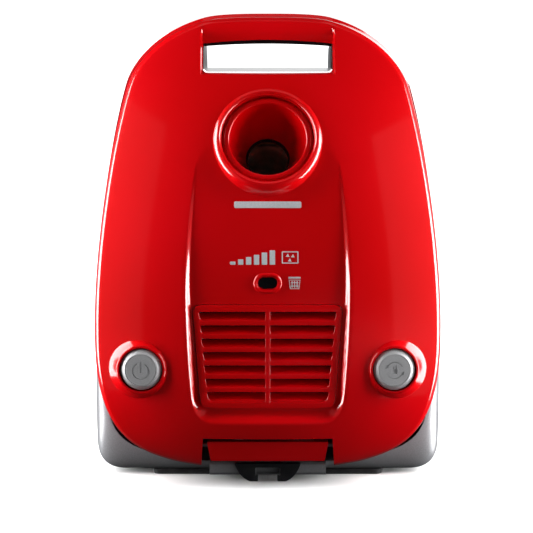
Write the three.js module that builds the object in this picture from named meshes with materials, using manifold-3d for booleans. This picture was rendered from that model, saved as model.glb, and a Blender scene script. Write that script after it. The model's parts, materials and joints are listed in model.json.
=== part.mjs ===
// Cylinder vacuum cleaner standing on its rear end.
// Millimetres. X across, Y from the red lid (front, -Y) to the wheels (back, +Y), Z up, floor at Z = 0.
import * as THREE from 'three';
import { mergeVertices } from 'three/addons/utils/BufferGeometryUtils.js';
import Module from 'manifold-3d';

const wasm = await Module();
wasm.setup();

// ---------- driving dimensions ----------
const LENGTH = 365; // overall height on its rear end
const RIM = { bottomY: -56, topY: -29 }; // the flat parting plane between lid and base
const LID = {
  skin: 3, edge: 5.5, crestY: -118.5, crestZ: 100, riseUp: 81.5, riseDown: 19.5, sideDrop: 22, dropPower: 2.4,
};
const GAP = 0.3; // clearance left between neighbouring pieces
const BASE = { floor: 3.4, halfWidth: 137.5, topZ: 356, backY: 84, skin: 3 };
const HANDLE = { halfWidth: 50.4, sill: 319.6, archEnd: 341.7, archTop: 344.7, wall: 3.6, blockZ: 316 };
const HINGE = { y: -26, z: 354, pin: 1.4, hole: 1.7, lug: 3.1, pocket: 5.4, near: 54.3, far: 60 };
const PORT = { y: -92, z: 272, tilt: 26, collar: 41.5, bore: 35.2, mouth: 31, throat: 17, depth: 46 };
const RECESS = { top: 279, deep: 8, deepZ: 100, floorZ: 53 };
const GRILLE = {
  top: 145.5, bottom: 65.1, y: -111.8, thick: 3.4, rows: 7, pitch: 10.3, slot: 5.4, first: 136.6,
};
const BUTTON = {
  x: 96.6, z: 95.9, faceY: -112.95, tilt: 3, radius: 15.8, stem: 4.3,
  well: 16.6, ring: 18.3, slope: 1.5, foot: 11,
};
const TAB = { top: 37.8, bottom: 22, halfTop: 46.8, halfBottom: 44, pinY: -97.4, pinZ: 34.6, bore: 1.9 };
const NOTCH = { top: 41, halfTop: 49.8, halfBottom: 53, wall: 3 };
const WHEEL = { y: 63, z: 58, radius: 52, inner: 112, outer: 134, axle: 5, well: 55.5, wellIn: 110 };
const CASTER = { z: 292, axleY: 100, axleZ: 280, radius: 13, halfWidth: 8 };
const MOTOR = { x: -50, y: 15, can: 48, stator: 34, shaft: 4, top: 140, step: 98, bottom: 60 };
const REEL = { x: 55, y: 1, z: 78, drum: 48, core: 22, axle: 6, half: 19.5 };
const BULKHEAD = { z: 147, thick: 3.5, bossX: 82, bossZ: 148.7 };
const BRAKE = { x: 82, y: -36, z: 107, pin: 1.8 };
const INDICATOR = { z: 162, halfFlat: 3.05, y: -110.4 };

// ---------- materials ----------
function finish(color, roughness, metalness = 0) {
  return { color, roughness, metalness };
}
const RED = finish(0xb80006, 0.18);
const SILVER = finish(0xb4b5ba, 0.35, 0.2);
const BLACK = finish(0x1d1e21, 0.5);
const RUBBER = finish(0x18181a, 0.85);
const STEEL = finish(0xa9abb0, 0.35, 0.9);
const BUTTON_GREY = finish(0x86888c, 0.35, 0.5);
const PALE = finish(0xd8d8d4, 0.6);
const FOAM = finish(0x3c4a58, 0.95);
const PAPER = finish(0xd9c7a0, 0.9);
const SMOKE = finish(0x101114, 0.08);
const COPPER = finish(0xa8623a, 0.4, 0.8);
const CARD = finish(0xb7a27c, 0.9);

const group = new THREE.Group();

// ---------- solids ----------
function volumeOf(position, triangles) {
  let volume = 0;
  const corner = [new THREE.Vector3(), new THREE.Vector3(), new THREE.Vector3()];
  for (let i = 0; i < triangles.length; i += 3) {
    corner.forEach((point, k) => point.fromBufferAttribute(position, triangles[i + k]));
    volume += corner[0].dot(corner[1].clone().cross(corner[2])) / 6;
  }
  return volume;
}

// A closed three.js geometry as a manifold solid, facing out whichever way it was listed.
function solidOf(geometry) {
  const bare = geometry.clone();
  bare.deleteAttribute('normal');
  bare.deleteAttribute('uv');
  const merged = mergeVertices(bare, 1e-3);
  const index = merged.index.array;
  const triangles = [];
  for (let i = 0; i < index.length; i += 3) {
    const [a, b, c] = [index[i], index[i + 1], index[i + 2]];
    if (a !== b && b !== c && c !== a) triangles.push(a, b, c);
  }
  if (volumeOf(merged.attributes.position, triangles) < 0) triangles.reverse();
  return new wasm.Manifold(new wasm.Mesh({
    numProp: 3,
    vertProperties: Float32Array.from(merged.attributes.position.array),
    triVerts: Uint32Array.from(triangles),
  }));
}

function add(first, ...others) {
  return others.reduce((sum, solid) => sum.add(solid), first);
}

function cut(first, ...others) {
  return others.reduce((rest, solid) => rest.subtract(solid), first);
}

function geometryOf(solid) {
  const mesh = solid.getMesh();
  const geometry = new THREE.BufferGeometry();
  geometry.setAttribute('position', new THREE.BufferAttribute(Float32Array.from(mesh.vertProperties), 3));
  geometry.setIndex(new THREE.BufferAttribute(Uint32Array.from(mesh.triVerts), 1));
  geometry.computeVertexNormals();
  return geometry;
}

function piece(name, solid, look) {
  const mesh = new THREE.Mesh(geometryOf(solid), new THREE.MeshStandardMaterial(look));
  mesh.name = name;
  group.add(mesh);
}

function box(x0, x1, y0, y1, z0, z1) {
  const geometry = new THREE.BoxGeometry(x1 - x0, y1 - y0, z1 - z0);
  geometry.translate((x0 + x1) / 2, (y0 + y1) / 2, (z0 + z1) / 2);
  return solidOf(geometry);
}

function frameOf(xAxis, yAxis, zAxis, origin) {
  const axes = [xAxis, yAxis, zAxis].map((axis) => new THREE.Vector3(...axis));
  return new THREE.Matrix4().makeBasis(...axes).setPosition(...origin);
}

const ACROSS = (y, z) => frameOf([0, 1, 0], [0, 0, 1], [1, 0, 0], [0, y, z]);
const BACKWARD = (x, z) => frameOf([0, 0, 1], [1, 0, 0], [0, 1, 0], [x, 0, z]);
const UPWARD = (x, y) => new THREE.Matrix4().makeTranslation(x, y, 0);

// A profile of [radius, height] points turned about the local Z axis.
function turned(profile, segments, place) {
  const points = profile.map(([radius, height]) => new THREE.Vector2(radius, height));
  const geometry = new THREE.LatheGeometry(points, segments).rotateX(Math.PI / 2);
  return solidOf(geometry.applyMatrix4(place));
}

function rod(radius, from, to, place, segments = 24) {
  return turned([[0, from], [radius, from], [radius, to], [0, to]], segments, place);
}

function ring(outer, inner, from, to, place, segments = 32) {
  const profile = [[inner, from], [outer, from], [outer, to], [inner, to], [inner, from]];
  return turned(profile, segments, place);
}

function shapeOf(points) {
  return new THREE.Shape(points.map(([a, b]) => new THREE.Vector2(a, b)));
}

function prism(shape, depth, place) {
  const geometry = new THREE.ExtrudeGeometry(shape, { depth, bevelEnabled: false, curveSegments: 3 });
  return solidOf(geometry.applyMatrix4(place));
}

// An outline of [y, z] points pushed along X, and one of [x, z] points pushed along Y.
function prismX(points, x0, x1) {
  return prism(shapeOf(points), x1 - x0, frameOf([0, 1, 0], [0, 0, 1], [1, 0, 0], [x0, 0, 0]));
}

function prismY(outline, y0, y1) {
  const shape = Array.isArray(outline) ? shapeOf(outline) : outline;
  return prism(shape, y1 - y0, frameOf([1, 0, 0], [0, 0, 1], [0, -1, 0], [0, y1, 0]));
}

// A convex outline with rounded corners.
function roundedOutline(corners, radius) {
  const shape = new THREE.Shape();
  corners.forEach((corner, i) => {
    const here = new THREE.Vector2(...corner);
    const before = new THREE.Vector2(...corners.at(i - 1));
    const after = new THREE.Vector2(...corners[(i + 1) % corners.length]);
    const start = here.clone().add(before.sub(here).setLength(radius));
    const end = here.clone().add(after.sub(here).setLength(radius));
    if (i === 0) shape.moveTo(start.x, start.y);
    else shape.lineTo(start.x, start.y);
    shape.quadraticCurveTo(here.x, here.y, end.x, end.y);
  });
  shape.closePath();
  return shape;
}

// ---------- outlines of the body, seen from the front ----------
function bezier([a, b, c, d], steps) {
  const curve = new THREE.CubicBezierCurve(...[a, b, c, d].map((p) => new THREE.Vector2(...p)));
  return curve.getPoints(steps).slice(1);
}

function loopOf(segments) {
  const half = [new THREE.Vector2(...segments[0][0][0])];
  segments.forEach(([points, steps]) => half.push(...bezier(points, steps)));
  const mirrored = half.slice(1, -1).reverse().map((p) => new THREE.Vector2(-p.x, p.y));
  return [...half, ...mirrored];
}

const lidLoop = loopOf([
  [[[0, 10.8], [30, 10.8], [55, 11.5], [72, 14.5]], 2],
  [[[72, 14.5], [112, 24], [137, 48], [135.7, 125]], 7],
  [[[135.7, 125], [135.7, 185], [123.4, 270], [111.2, 311]], 4],
  [[[111.2, 311], [106, 328], [86, 352.6], [48, 362.4]], 5],
  [[[48, 362.4], [36.5, 365], [15, LENGTH], [0, LENGTH]], 2],
]);

// The grey base behind the lid: square rear corners, and an upper end at z = top.
function baseLoop(top) {
  const waist = 150;
  const z = (height) => waist + (height - waist) * (top - waist) / (LENGTH - waist);
  const wide = BASE.halfWidth;
  return loopOf([
    [[[0, BASE.floor], [40, BASE.floor], [80, BASE.floor], [112, BASE.floor]], 2],
    [[[112, BASE.floor], [127, BASE.floor], [134.4, 9], [136, 22]], 5],
    [[[136, 22], [wide, 36], [wide, 95], [134.7, 125]], 3],
    [[[134.7, 125], [134.2, 185], [122.4, z(270)], [110.2, z(311)]], 3],
    [[[110.2, z(311)], [105, z(328)], [85, z(352.6)], [47, z(362.4)]], 5],
    [[[47, z(362.4)], [35.5, z(365)], [15, z(LENGTH)], [0, z(LENGTH)]], 2],
  ]);
}

function inset(loop, distance) {
  return loop.map((here, i) => {
    const before = loop.at(i - 1);
    const after = loop[(i + 1) % loop.length];
    const along = after.clone().sub(before).normalize();
    return new THREE.Vector2(here.x - along.y * distance, here.y + along.x * distance);
  });
}

function blendLoops(first, second, amount) {
  return first.map((point, i) => point.clone().lerp(second[i], amount));
}

function rimY(z) {
  return RIM.bottomY + (RIM.topY - RIM.bottomY) * z / LENGTH;
}

function atDepth(loop, depthOf) {
  return loop.map((point) => new THREE.Vector3(point.x, depthOf(point.x, point.y), point.y));
}

function behindRim(offset) {
  return (x, z) => rimY(z) + offset;
}

// A closed body through rings of equal length, listed from the back to the front.
function loft(rings) {
  const count = rings[0].length;
  const points = rings.flat();
  const triangles = [];
  for (let r = 0; r + 1 < rings.length; r += 1) {
    for (let i = 0; i < count; i += 1) {
      const j = (i + 1) % count;
      const [a, b] = [r * count + i, r * count + j];
      const [c, d] = [b + count, a + count];
      triangles.push(a, b, c, a, c, d);
    }
  }
  [rings[0], rings.at(-1)].forEach((end, side) => {
    const middle = end.reduce((sum, p) => sum.add(p), new THREE.Vector3()).divideScalar(count);
    const hub = points.push(middle) - 1;
    const first = side * (rings.length - 1) * count;
    for (let i = 0; i < count; i += 1) {
      const [a, b] = [first + i, first + (i + 1) % count];
      triangles.push(...(side ? [a, b, hub] : [b, a, hub]));
    }
  });
  const geometry = new THREE.BufferGeometry().setFromPoints(points);
  geometry.setIndex(triangles);
  return solidOf(geometry);
}

// A flat ring or plate lying parallel to the parting plane.
function rimPlate(loop, back, front) {
  return loft([atDepth(loop, behindRim(back)), atDepth(loop, behindRim(front))]);
}

// ---------- the lid's front surface ----------
function halfWidthAt(z) {
  const side = lidLoop.slice(0, lidLoop.length / 2 + 1);
  const above = side.findIndex((point) => point.y >= z);
  if (above <= 0) return side.at(above).x;
  const [low, high] = [side[above - 1], side[above]];
  return low.x + (high.x - low.x) * (z - low.y) / (high.y - low.y);
}

function crest(z) {
  const rise = z > LID.crestZ ? LID.riseUp : LID.riseDown;
  const span = z > LID.crestZ ? LENGTH - LID.crestZ : LID.crestZ - TAB.bottom;
  return LID.crestY + rise * (Math.abs(z - LID.crestZ) / span) ** LID.dropPower;
}

function lidFront(x, z) {
  const across = Math.min(1, Math.abs(x) / Math.max(1, halfWidthAt(z)));
  const drop = LID.sideDrop * (1 - (z / LENGTH) ** 6) * across ** LID.dropPower;
  return crest(z) + drop;
}

function recessDepth(z) {
  const share = (RECESS.top - z) / (RECESS.top - RECESS.deepZ);
  return RECESS.deep * Math.min(1, Math.max(0, share)) ** 0.8;
}

// Rings of the lid from its rim to the middle of its face, moved in by skin.
function lidBody(skin, back) {
  const middle = new THREE.Vector2(0, 178);
  const face = inset(lidLoop, LID.edge + skin);
  const shrunk = (share) => face.map((p) => middle.clone().lerp(p, share));
  const front = (extra) => (x, z) => Math.min(lidFront(x, z) + skin + extra, rimY(z) - 2);
  return loft([
    atDepth(inset(lidLoop, skin), behindRim(back)),
    atDepth(inset(lidLoop, skin + 2.5), front(4.5)),
    atDepth(face, front(0)),
    ...[0.8, 0.5, 0.2].map((share) => atDepth(shrunk(share), front(0))),
  ]);
}

// Everything in front of a surface y = backY(x, z) over a rectangle of the face.
function slabInFront(halfWidth, z0, z1, backY) {
  const [columns, rows] = [2, 6];
  const frontY = -150;
  const rings = [];
  for (let r = 0; r <= rows; r += 1) {
    const z = z0 + (z1 - z0) * r / rows;
    const line = [];
    for (let c = 0; c <= columns; c += 1) {
      const x = halfWidth * (2 * c / columns - 1);
      line.push(new THREE.Vector3(x, backY(x, z), z));
    }
    line.push(new THREE.Vector3(halfWidth, frontY, z), new THREE.Vector3(-halfWidth, frontY, z));
    rings.push(line);
  }
  return loft(rings);
}

const portTilt = THREE.MathUtils.degToRad(PORT.tilt);
const portOut = [0, -Math.cos(portTilt), Math.sin(portTilt)];
const portUp = [0, Math.sin(portTilt), Math.cos(portTilt)];
const AT_PORT = frameOf([1, 0, 0], portUp, portOut, [0, PORT.y, PORT.z]);

// Local Z points out of the button's face.
function atButton(side) {
  const tilt = THREE.MathUtils.degToRad(BUTTON.tilt);
  const out = [side * Math.sin(tilt), -Math.cos(tilt), 0];
  const level = [Math.cos(tilt), side * Math.sin(tilt), 0];
  return frameOf(level, [0, 0, 1], out, [side * BUTTON.x, BUTTON.faceY, BUTTON.z]);
}

function recessOutline(grow) {
  const g = grow;
  return roundedOutline([[-53 - g, 53 - g], [53 + g, 53 - g], [59.5 + g, 75], [62.8 + g, 150],
    [51.5 + g, RECESS.top + g], [-51.5 - g, RECESS.top + g], [-62.8 - g, 150], [-59.5 - g, 75]], 6);
}

function recessCutter(grow) {
  const floor = (x, z) => crest(z) + recessDepth(z) + grow + 1.2 * (x / 60) ** 2;
  const slab = slabInFront(75, 45, 290, floor);
  return slab.intersect(prismY(recessOutline(grow), -150, -40));
}

function grilleOutline(grow) {
  const [low, high] = [GRILLE.bottom - grow, GRILLE.top + grow];
  const [cornerX, cornerZ] = [43 + grow, 74];
  return roundedOutline([[-cornerX, low], [cornerX, low], [52 + grow, cornerZ], [57.8 + grow, high],
    [-57.8 - grow, high], [-52 - grow, cornerZ]], 3);
}

function stadium(grow) {
  const radius = 7.85 + grow;
  const shape = new THREE.Shape();
  shape.absarc(INDICATOR.halfFlat, INDICATOR.z, radius, -Math.PI / 2, Math.PI / 2, false);
  shape.absarc(-INDICATOR.halfFlat, INDICATOR.z, radius, Math.PI / 2, 1.5 * Math.PI, false);
  return shape;
}

function notchOutline(grow) {
  const [high, top, bottom] = [NOTCH.top + grow, NOTCH.halfTop + grow, NOTCH.halfBottom + grow];
  return [[-bottom, 0], [bottom, 0], [top, high], [-top, high]];
}

// ---------- lid ----------
function handleBlock(solid) {
  const reach = HANDLE.halfWidth + HANDLE.wall;
  return solid.intersect(box(-reach, reach, -150, 0, HANDLE.blockZ, LENGTH + 1));
}

// The see-through slot in the lid: a level sill under an arched bar.
function handleOpening() {
  const { halfWidth, sill, archEnd, archTop } = HANDLE;
  const arch = [1, 0.6, 0.2, -0.2, -0.6, -1].map((share) => (
    [share * halfWidth, archTop - (archTop - archEnd) * share * share]));
  return [[-halfWidth, sill], [halfWidth, sill], ...arch];
}

// The raised ring round a foot button, with the well for the button behind it.
function buttonCollar(side) {
  const { ring, slope, foot } = BUTTON;
  const cone = turned([[0, -foot], [ring + foot / slope, -foot], [ring, 0], [0, 0]], 24, atButton(side));
  return add(cone, rod(19.5, -24, 1 - foot, atButton(side), 16));
}

function lidKnuckle(side, outer) {
  const { near, far } = HINGE;
  const [x0, x1] = side > 0 ? [near, far] : [-far, -near];
  return add(box(x0, x1, -38, -29, 351.2, 359).intersect(outer), box(x0, x1, -30, HINGE.y, 351.2, 356.8),
    rod(3, x0, x1, ACROSS(HINGE.y, HINGE.z), 16));
}

function makeLidShell() {
  const outer = lidBody(0, 0);
  const cavity = cut(lidBody(LID.skin, 6), recessCutter(LID.skin));
  const barFront = prismX([[-140, 320.5], [-140, 380], [-35.5, 380], [-36, 364], [-40.5, 358], [-43, 351],
    [-42.5, 346], [-39.5, 342.6], [-50, 335], [-60, 320.5]], -52, 52);
  const pocket = prismY(notchOutline(NOTCH.wall), -150, 0).subtract(prismY(notchOutline(0), -150, 0));
  const portPlug = turned([[0, -18], [PORT.collar - 2, -18], [PORT.collar, -14], [PORT.collar + 4, -13],
    [PORT.collar, -3], [PORT.collar - 1.5, -0.5], [PORT.collar - 4, 0], [0, 0]], 24, AT_PORT);
  const rimFront = rimPlate(lidLoop, 0, -100);
  const extras = add(handleBlock(outer), pocket.intersect(outer), portPlug.intersect(rimFront),
    buttonCollar(-1), buttonCollar(1));
  const hollow = cut(outer, recessCutter(0), cavity);
  const buttonHoles = [-1, 1].flatMap((side) => [rod(BUTTON.well, -21.5, 1, atButton(side), 24),
    rod(BUTTON.stem + 0.4, -40, 0, atButton(side), 10)]);
  const body = cut(add(hollow, extras), barFront,
    prismY(handleOpening(), -150, 0),
    prismY(notchOutline(0), -150, 0), prismY(grilleOutline(0.4), -150, -97),
    prismY(stadium(-0.7), -150, -90), rod(PORT.bore, -40, 20, AT_PORT, 24), ...buttonHoles);
  const pinHoles = [-1, 1].map((side) => {
    const [x0, x1] = side > 0 ? [48, 54.5] : [-54.5, -48];
    return rod(TAB.bore, x0, x1, ACROSS(TAB.pinY, TAB.pinZ), 16);
  });
  const hinge = rod(HINGE.hole, -70, 70, ACROSS(HINGE.y, HINGE.z), 20);
  return cut(add(body, lidKnuckle(-1, outer), lidKnuckle(1, outer)), hinge, ...pinHoles);
}

function makePort() {
  const { mouth, throat, depth, bore } = PORT;
  const profile = [[mouth, -4], [bore - 0.5, -4], [bore - 0.5, -15], [mouth + 1, -18], [throat + 3, -depth],
    [throat, -depth], [mouth - 1, -7], [mouth, -4]];
  piece('hose_port', turned(profile, 24, AT_PORT), RED);
  piece('port_seal', ring(22, throat, -depth - 4.5, -depth - GAP, AT_PORT, 24), RUBBER);
}

function makeGrille() {
  const plate = prismY(grilleOutline(0), GRILLE.y, GRILLE.y + GRILLE.thick);
  const slots = [];
  for (let row = 0; row < GRILLE.rows; row += 1) {
    const z = GRILLE.first - row * GRILLE.pitch;
    const reach = 51.5 - row * 1.05;
    for (const side of [-1, 1]) {
      const ends = [side * 2.2, side * reach].sort((a, b) => a - b);
      const corners = [[ends[0], z - GRILLE.slot / 2], [ends[1], z - GRILLE.slot / 2],
        [ends[1], z + GRILLE.slot / 2], [ends[0], z + GRILLE.slot / 2]];
      slots.push(prismY(corners, GRILLE.y - 1, GRILLE.y + GRILLE.thick + 1));
    }
  }
  piece('exhaust_grille', cut(plate, ...slots), RED);
  const filter = roundedOutline([[-42, 70], [42, 70], [50, 141], [-50, 141]], 5);
  piece('exhaust_filter', prismY(filter, GRILLE.y + GRILLE.thick + GAP, -99), FOAM);
}

function makeIndicator() {
  const flange = prismY(stadium(0), INDICATOR.y - 1.2, INDICATOR.y - 0.5);
  const body = prismY(stadium(-1.1), INDICATOR.y - 0.9, -99);
  const well = prismY(stadium(-3.1), -130, -101);
  piece('indicator_bezel', cut(add(flange, body), well), RED);
  piece('indicator_window', prismY(stadium(-3.5), INDICATOR.y + 1, INDICATOR.y + 2.4), SMOKE);
  const flag = box(-6.5, -1.5, INDICATOR.y + 3, INDICATOR.y + 5, INDICATOR.z - 3, INDICATOR.z + 3);
  piece('indicator_flag', flag, PALE);
}

function makeButton(side, name) {
  const place = atButton(side);
  const { radius, stem } = BUTTON;
  const disc = radius - 3.9;
  const skirt = -8;
  const tip = -72.2;
  const cap = turned([[0, 0.7], [disc, 0.7], [disc, 1.3], [disc + 0.4, 1.4], [radius, -1.6],
    [radius, skirt], [stem, skirt], [stem, tip], [0, tip]], 24, place);
  piece(name, cap, BUTTON_GREY);
  piece(`${name}_spring`, ring(7.5, 5.2, -17, skirt - GAP, place, 16), STEEL);
}

function makeLatch() {
  const wedge = prismX([[-103.3, TAB.top], [-98.6, TAB.bottom], [-94.2, TAB.bottom], [-94.2, 32],
    [-96, TAB.top]], -TAB.halfTop, TAB.halfTop);
  const trim = prismY([[-TAB.halfBottom, TAB.bottom], [TAB.halfBottom, TAB.bottom], [TAB.halfTop, TAB.top],
    [-TAB.halfTop, TAB.top]], -120, -90);
  const hook = add(box(-12, 12, -97, -52, 23, 26), box(-12, 12, -54, -52, 25.5, 27.4));
  const bore = rod(TAB.bore, -60, 60, ACROSS(TAB.pinY, TAB.pinZ), 16);
  piece('latch_tab', cut(add(wedge.intersect(trim), hook), bore), RED);
  piece('latch_pin', rod(1.6, -52, 52, ACROSS(TAB.pinY, TAB.pinZ), 16), STEEL);
  const leaf = add(box(20, 36, -93.4, -92.4, 26, 40.7), box(20, 36, -93.4, -84, 39.7, 40.7));
  piece('latch_spring', leaf, STEEL);
}

// ---------- base ----------
function baseRings(skin) {
  const egg = inset(lidLoop, 0.2).map((p) => new THREE.Vector2(p.x, Math.min(p.y, BASE.topZ)));
  const full = (top, extra = 0) => inset(baseLoop(top), skin + extra);
  const mix = (amount) => inset(blendLoops(egg, baseLoop(355), amount), skin);
  return [
    atDepth(full(326, 13), () => BASE.backY - skin),
    atDepth(full(332, 4), () => BASE.backY - 8 - 0.7 * skin),
    atDepth(full(340), () => 60),
    atDepth(full(350), () => 20),
    atDepth(full(355), behindRim(18)),
    atDepth(mix(0.92), behindRim(12)),
    atDepth(mix(0.6), behindRim(6)),
    atDepth(inset(egg, skin), behindRim(skin ? -10 : 0.4)),
  ];
}

function wheelWell(side, radius, from) {
  const [x0, x1] = side > 0 ? [from, 150] : [-150, -from];
  return rod(radius, x0, x1, ACROSS(WHEEL.y, WHEEL.z), 20);
}

function makeTub() {
  const { halfWidth, wall, sill, blockZ } = HANDLE;
  const reach = halfWidth + wall;
  const outer = loft(baseRings(0));
  const sides = [-1, 1];
  const keep = add(box(-reach, reach, -80, 90, blockZ, 370),
    ...sides.map((side) => wheelWell(side, WHEEL.well + 3, WHEEL.wellIn - 3)));
  const cavity = cut(loft(baseRings(BASE.skin)), keep);
  const seat = cut(rimPlate(inset(lidLoop, 2.5), 6, 3), rimPlate(inset(lidLoop, 11), 9, 0));
  const seatRing = seat.intersect(outer).intersect(box(-150, 150, -80, 20, 151, 313));
  const crossSeat = rimPlate(inset(lidLoop, 3.5), 6, 3).intersect(box(-150, 150, -80, 20, 309, 317));
  const shelf = box(-136, -98.4, -34, -24, 90, 96);
  const pedestal = add(box(-78, -74, -8, 38, 5, 41.6), box(-26, -22, -8, 38, 5, 41.6));
  const lugs = sides.map((side) => rod(HINGE.lug, ...(side > 0 ? [halfWidth, reach] : [-reach, -halfWidth]),
    ACROSS(HINGE.y, HINGE.z), 20));
  const pockets = sides.map((side) => rod(HINGE.pocket, ...(side > 0 ? [reach, 60.6] : [-60.6, -reach]),
    ACROSS(HINGE.y, HINGE.z), 20));
  const shell = add(cut(outer, cavity), seatRing, crossSeat, shelf, pedestal);
  const opened = cut(shell, box(-halfWidth, halfWidth, -80, 100, sill, 370), ...pockets,
    ...sides.map((side) => wheelWell(side, WHEEL.well, WHEEL.wellIn)),
    box(-46.2, 46.2, -80, -40, 0, 14.6), box(-91.5, 91.5, -47, 52, 0, 4.1));
  const axleHoles = sides.map((side) => rod(WHEEL.axle + 0.4, ...(side > 0 ? [100, 112] : [-112, -100]),
    ACROSS(WHEEL.y, WHEEL.z)));
  const screwHoles = SCREWS.map(([, x, z]) => rod(2.2, 78, 90, BACKWARD(x, z), 8));
  const hinge = rod(HINGE.hole, -59, 59, ACROSS(HINGE.y, HINGE.z), 20);
  const swivel = rod(5.4, 70, 90, BACKWARD(0, CASTER.z), 20);
  const glandHole = rod(6.9, 0, 12, UPWARD(GLAND[0], GLAND[1]), 20);
  return cut(add(opened, ...lugs), hinge, swivel, glandHole, ...axleHoles, ...screwHoles);
}

const SCREWS = [
  ['bulkhead_screw_left', -BULKHEAD.bossX, BULKHEAD.bossZ],
  ['bulkhead_screw_right', BULKHEAD.bossX, BULKHEAD.bossZ],
  ['reel_screw_left', 9.5, 85],
  ['reel_screw_right', 100.5, 85],
];
const GLAND = [99.8, -12];

function makeHandle() {
  const arch = new THREE.Shape();
  arch.moveTo(-50.1, 338.6);
  arch.quadraticCurveTo(0, 343.4, 50.1, 338.6);
  arch.lineTo(50.1, 353.4);
  arch.quadraticCurveTo(0, 358.4, -50.1, 353.4);
  arch.closePath();
  const section = [[-29.4, 335], [-14, 335], [-9, 341], [-8, 349], [-13, 355], [-22, 360], [-29.4, 360]];
  const rounded = prismX(section, -50.1, 50.1);
  piece('handle_grip', prismY(arch, -29.4, -8).intersect(rounded), BLACK);
  for (const [name, x0, x1] of [['hinge_pin_left', -59.8, -50.7], ['hinge_pin_right', 50.7, 59.8]]) {
    piece(name, rod(HINGE.pin, x0, x1, ACROSS(HINGE.y, HINGE.z), 16), STEEL);
  }
}

function makeChamber() {
  const gasket = rimPlate(inset(lidLoop, 6.5), 2.7, 0.5);
  const [low, high] = [152, 312.5];
  const band = cut(gasket, rimPlate(inset(lidLoop, 10.5), 4, -1));
  const strip = band.intersect(box(-150, 150, -80, 0, low, high));
  const cross = gasket.intersect(box(-150, 150, -80, 0, high - 3.5, high));
  piece('chamber_seal', add(strip, cross), RUBBER);
  const inside = loft(baseRings(BASE.skin + GAP)).intersect(rimPlate(inset(lidLoop, -8), 140, 0.4));
  const plate = inside.intersect(box(-150, 150, -80, 90, BULKHEAD.z, BULKHEAD.z + BULKHEAD.thick));
  const bossPlaces = [-BULKHEAD.bossX, BULKHEAD.bossX].map((x) => BACKWARD(x, BULKHEAD.bossZ));
  const bosses = bossPlaces.map((at) => cut(rod(5, 58, BASE.backY - BASE.skin - GAP, at, 16),
    rod(2.1, 55, 90, at, 12)));
  const atMotor = UPWARD(MOTOR.x, MOTOR.y);
  const hole = rod(36, 140, 160, atMotor, 24);
  const drilled = cut(plate, hole, ...bossPlaces.map((at) => rod(4, 57, 90, at, 12)));
  piece('bulkhead', add(drilled, ...bosses), BLACK);
  const bars = [-12, 12].flatMap((offset) => [
    box(MOTOR.x + offset - 1.5, MOTOR.x + offset + 1.5, MOTOR.y - 34, MOTOR.y + 34, 147.2, 150.3),
    box(MOTOR.x - 34, MOTOR.x + 34, MOTOR.y + offset - 1.5, MOTOR.y + offset + 1.5, 147.2, 150.3)]);
  const frame = turned([[32.5, 147.2], [35.6, 147.2], [35.6, 150.8], [40, 150.8], [40, 152.2], [32.5, 152.2],
    [32.5, 147.2]], 24, atMotor);
  const round = rod(34, 140, 160, atMotor, 24);
  piece('inlet_grid', add(frame, ...bars.map((bar) => bar.intersect(round))), BLACK);
  piece('premotor_filter', rod(39, 152.5, 157.5, atMotor, 24), FOAM);
}

function inPortFrame(halfWidth, low, high, from, to, radius) {
  const corners = [[-halfWidth, low], [halfWidth, low], [halfWidth, high], [-halfWidth, high]];
  const shape = roundedOutline(corners, radius);
  return prism(shape, to - from, AT_PORT.clone().multiply(new THREE.Matrix4().makeTranslation(0, 0, from)));
}

function makeDustBag() {
  const plate = inPortFrame(58, -38, 38, -56, -53, 6);
  const posts = [box(38, 44, -26.2, -20, 279, 315.7), box(-44, -38, -26.2, -20, 279, 315.7)];
  piece('bag_holder', cut(add(plate, ...posts), rod(24, -70, -40, AT_PORT, 28)), BLACK);
  const card = inPortFrame(50, -32, 32, -58.6, -56.3, 5);
  piece('bag_collar', cut(card, rod(18.5, -70, -40, AT_PORT, 28)), CARD);
  const rings = [];
  const [rows, count] = [8, 20];
  for (let r = 0; r <= rows; r += 1) {
    const angle = Math.PI * (0.02 + 0.96 * r / rows);
    const height = Math.sign(Math.cos(angle)) * Math.abs(Math.cos(angle)) ** 0.6;
    const girth = Math.sin(angle) ** 0.45;
    const line = [];
    for (let i = 0; i < count; i += 1) {
      const turn = 2 * Math.PI * i / count;
      const round = (value) => Math.sign(value) * Math.abs(value) ** 0.6;
      line.push(new THREE.Vector3(BAG.halfX * girth * round(Math.cos(turn)),
        BAG.y + BAG.halfY * girth * round(Math.sin(turn)), BAG.z + BAG.halfZ * height));
    }
    rings.push(line);
  }
  const neck = rod(23, -92, -59, AT_PORT, 28);
  piece('dust_bag', add(loft(rings), neck), PAPER);
}

const BAG = { halfX: 98, halfY: 40, halfZ: 70, y: 28, z: 233 };

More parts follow.
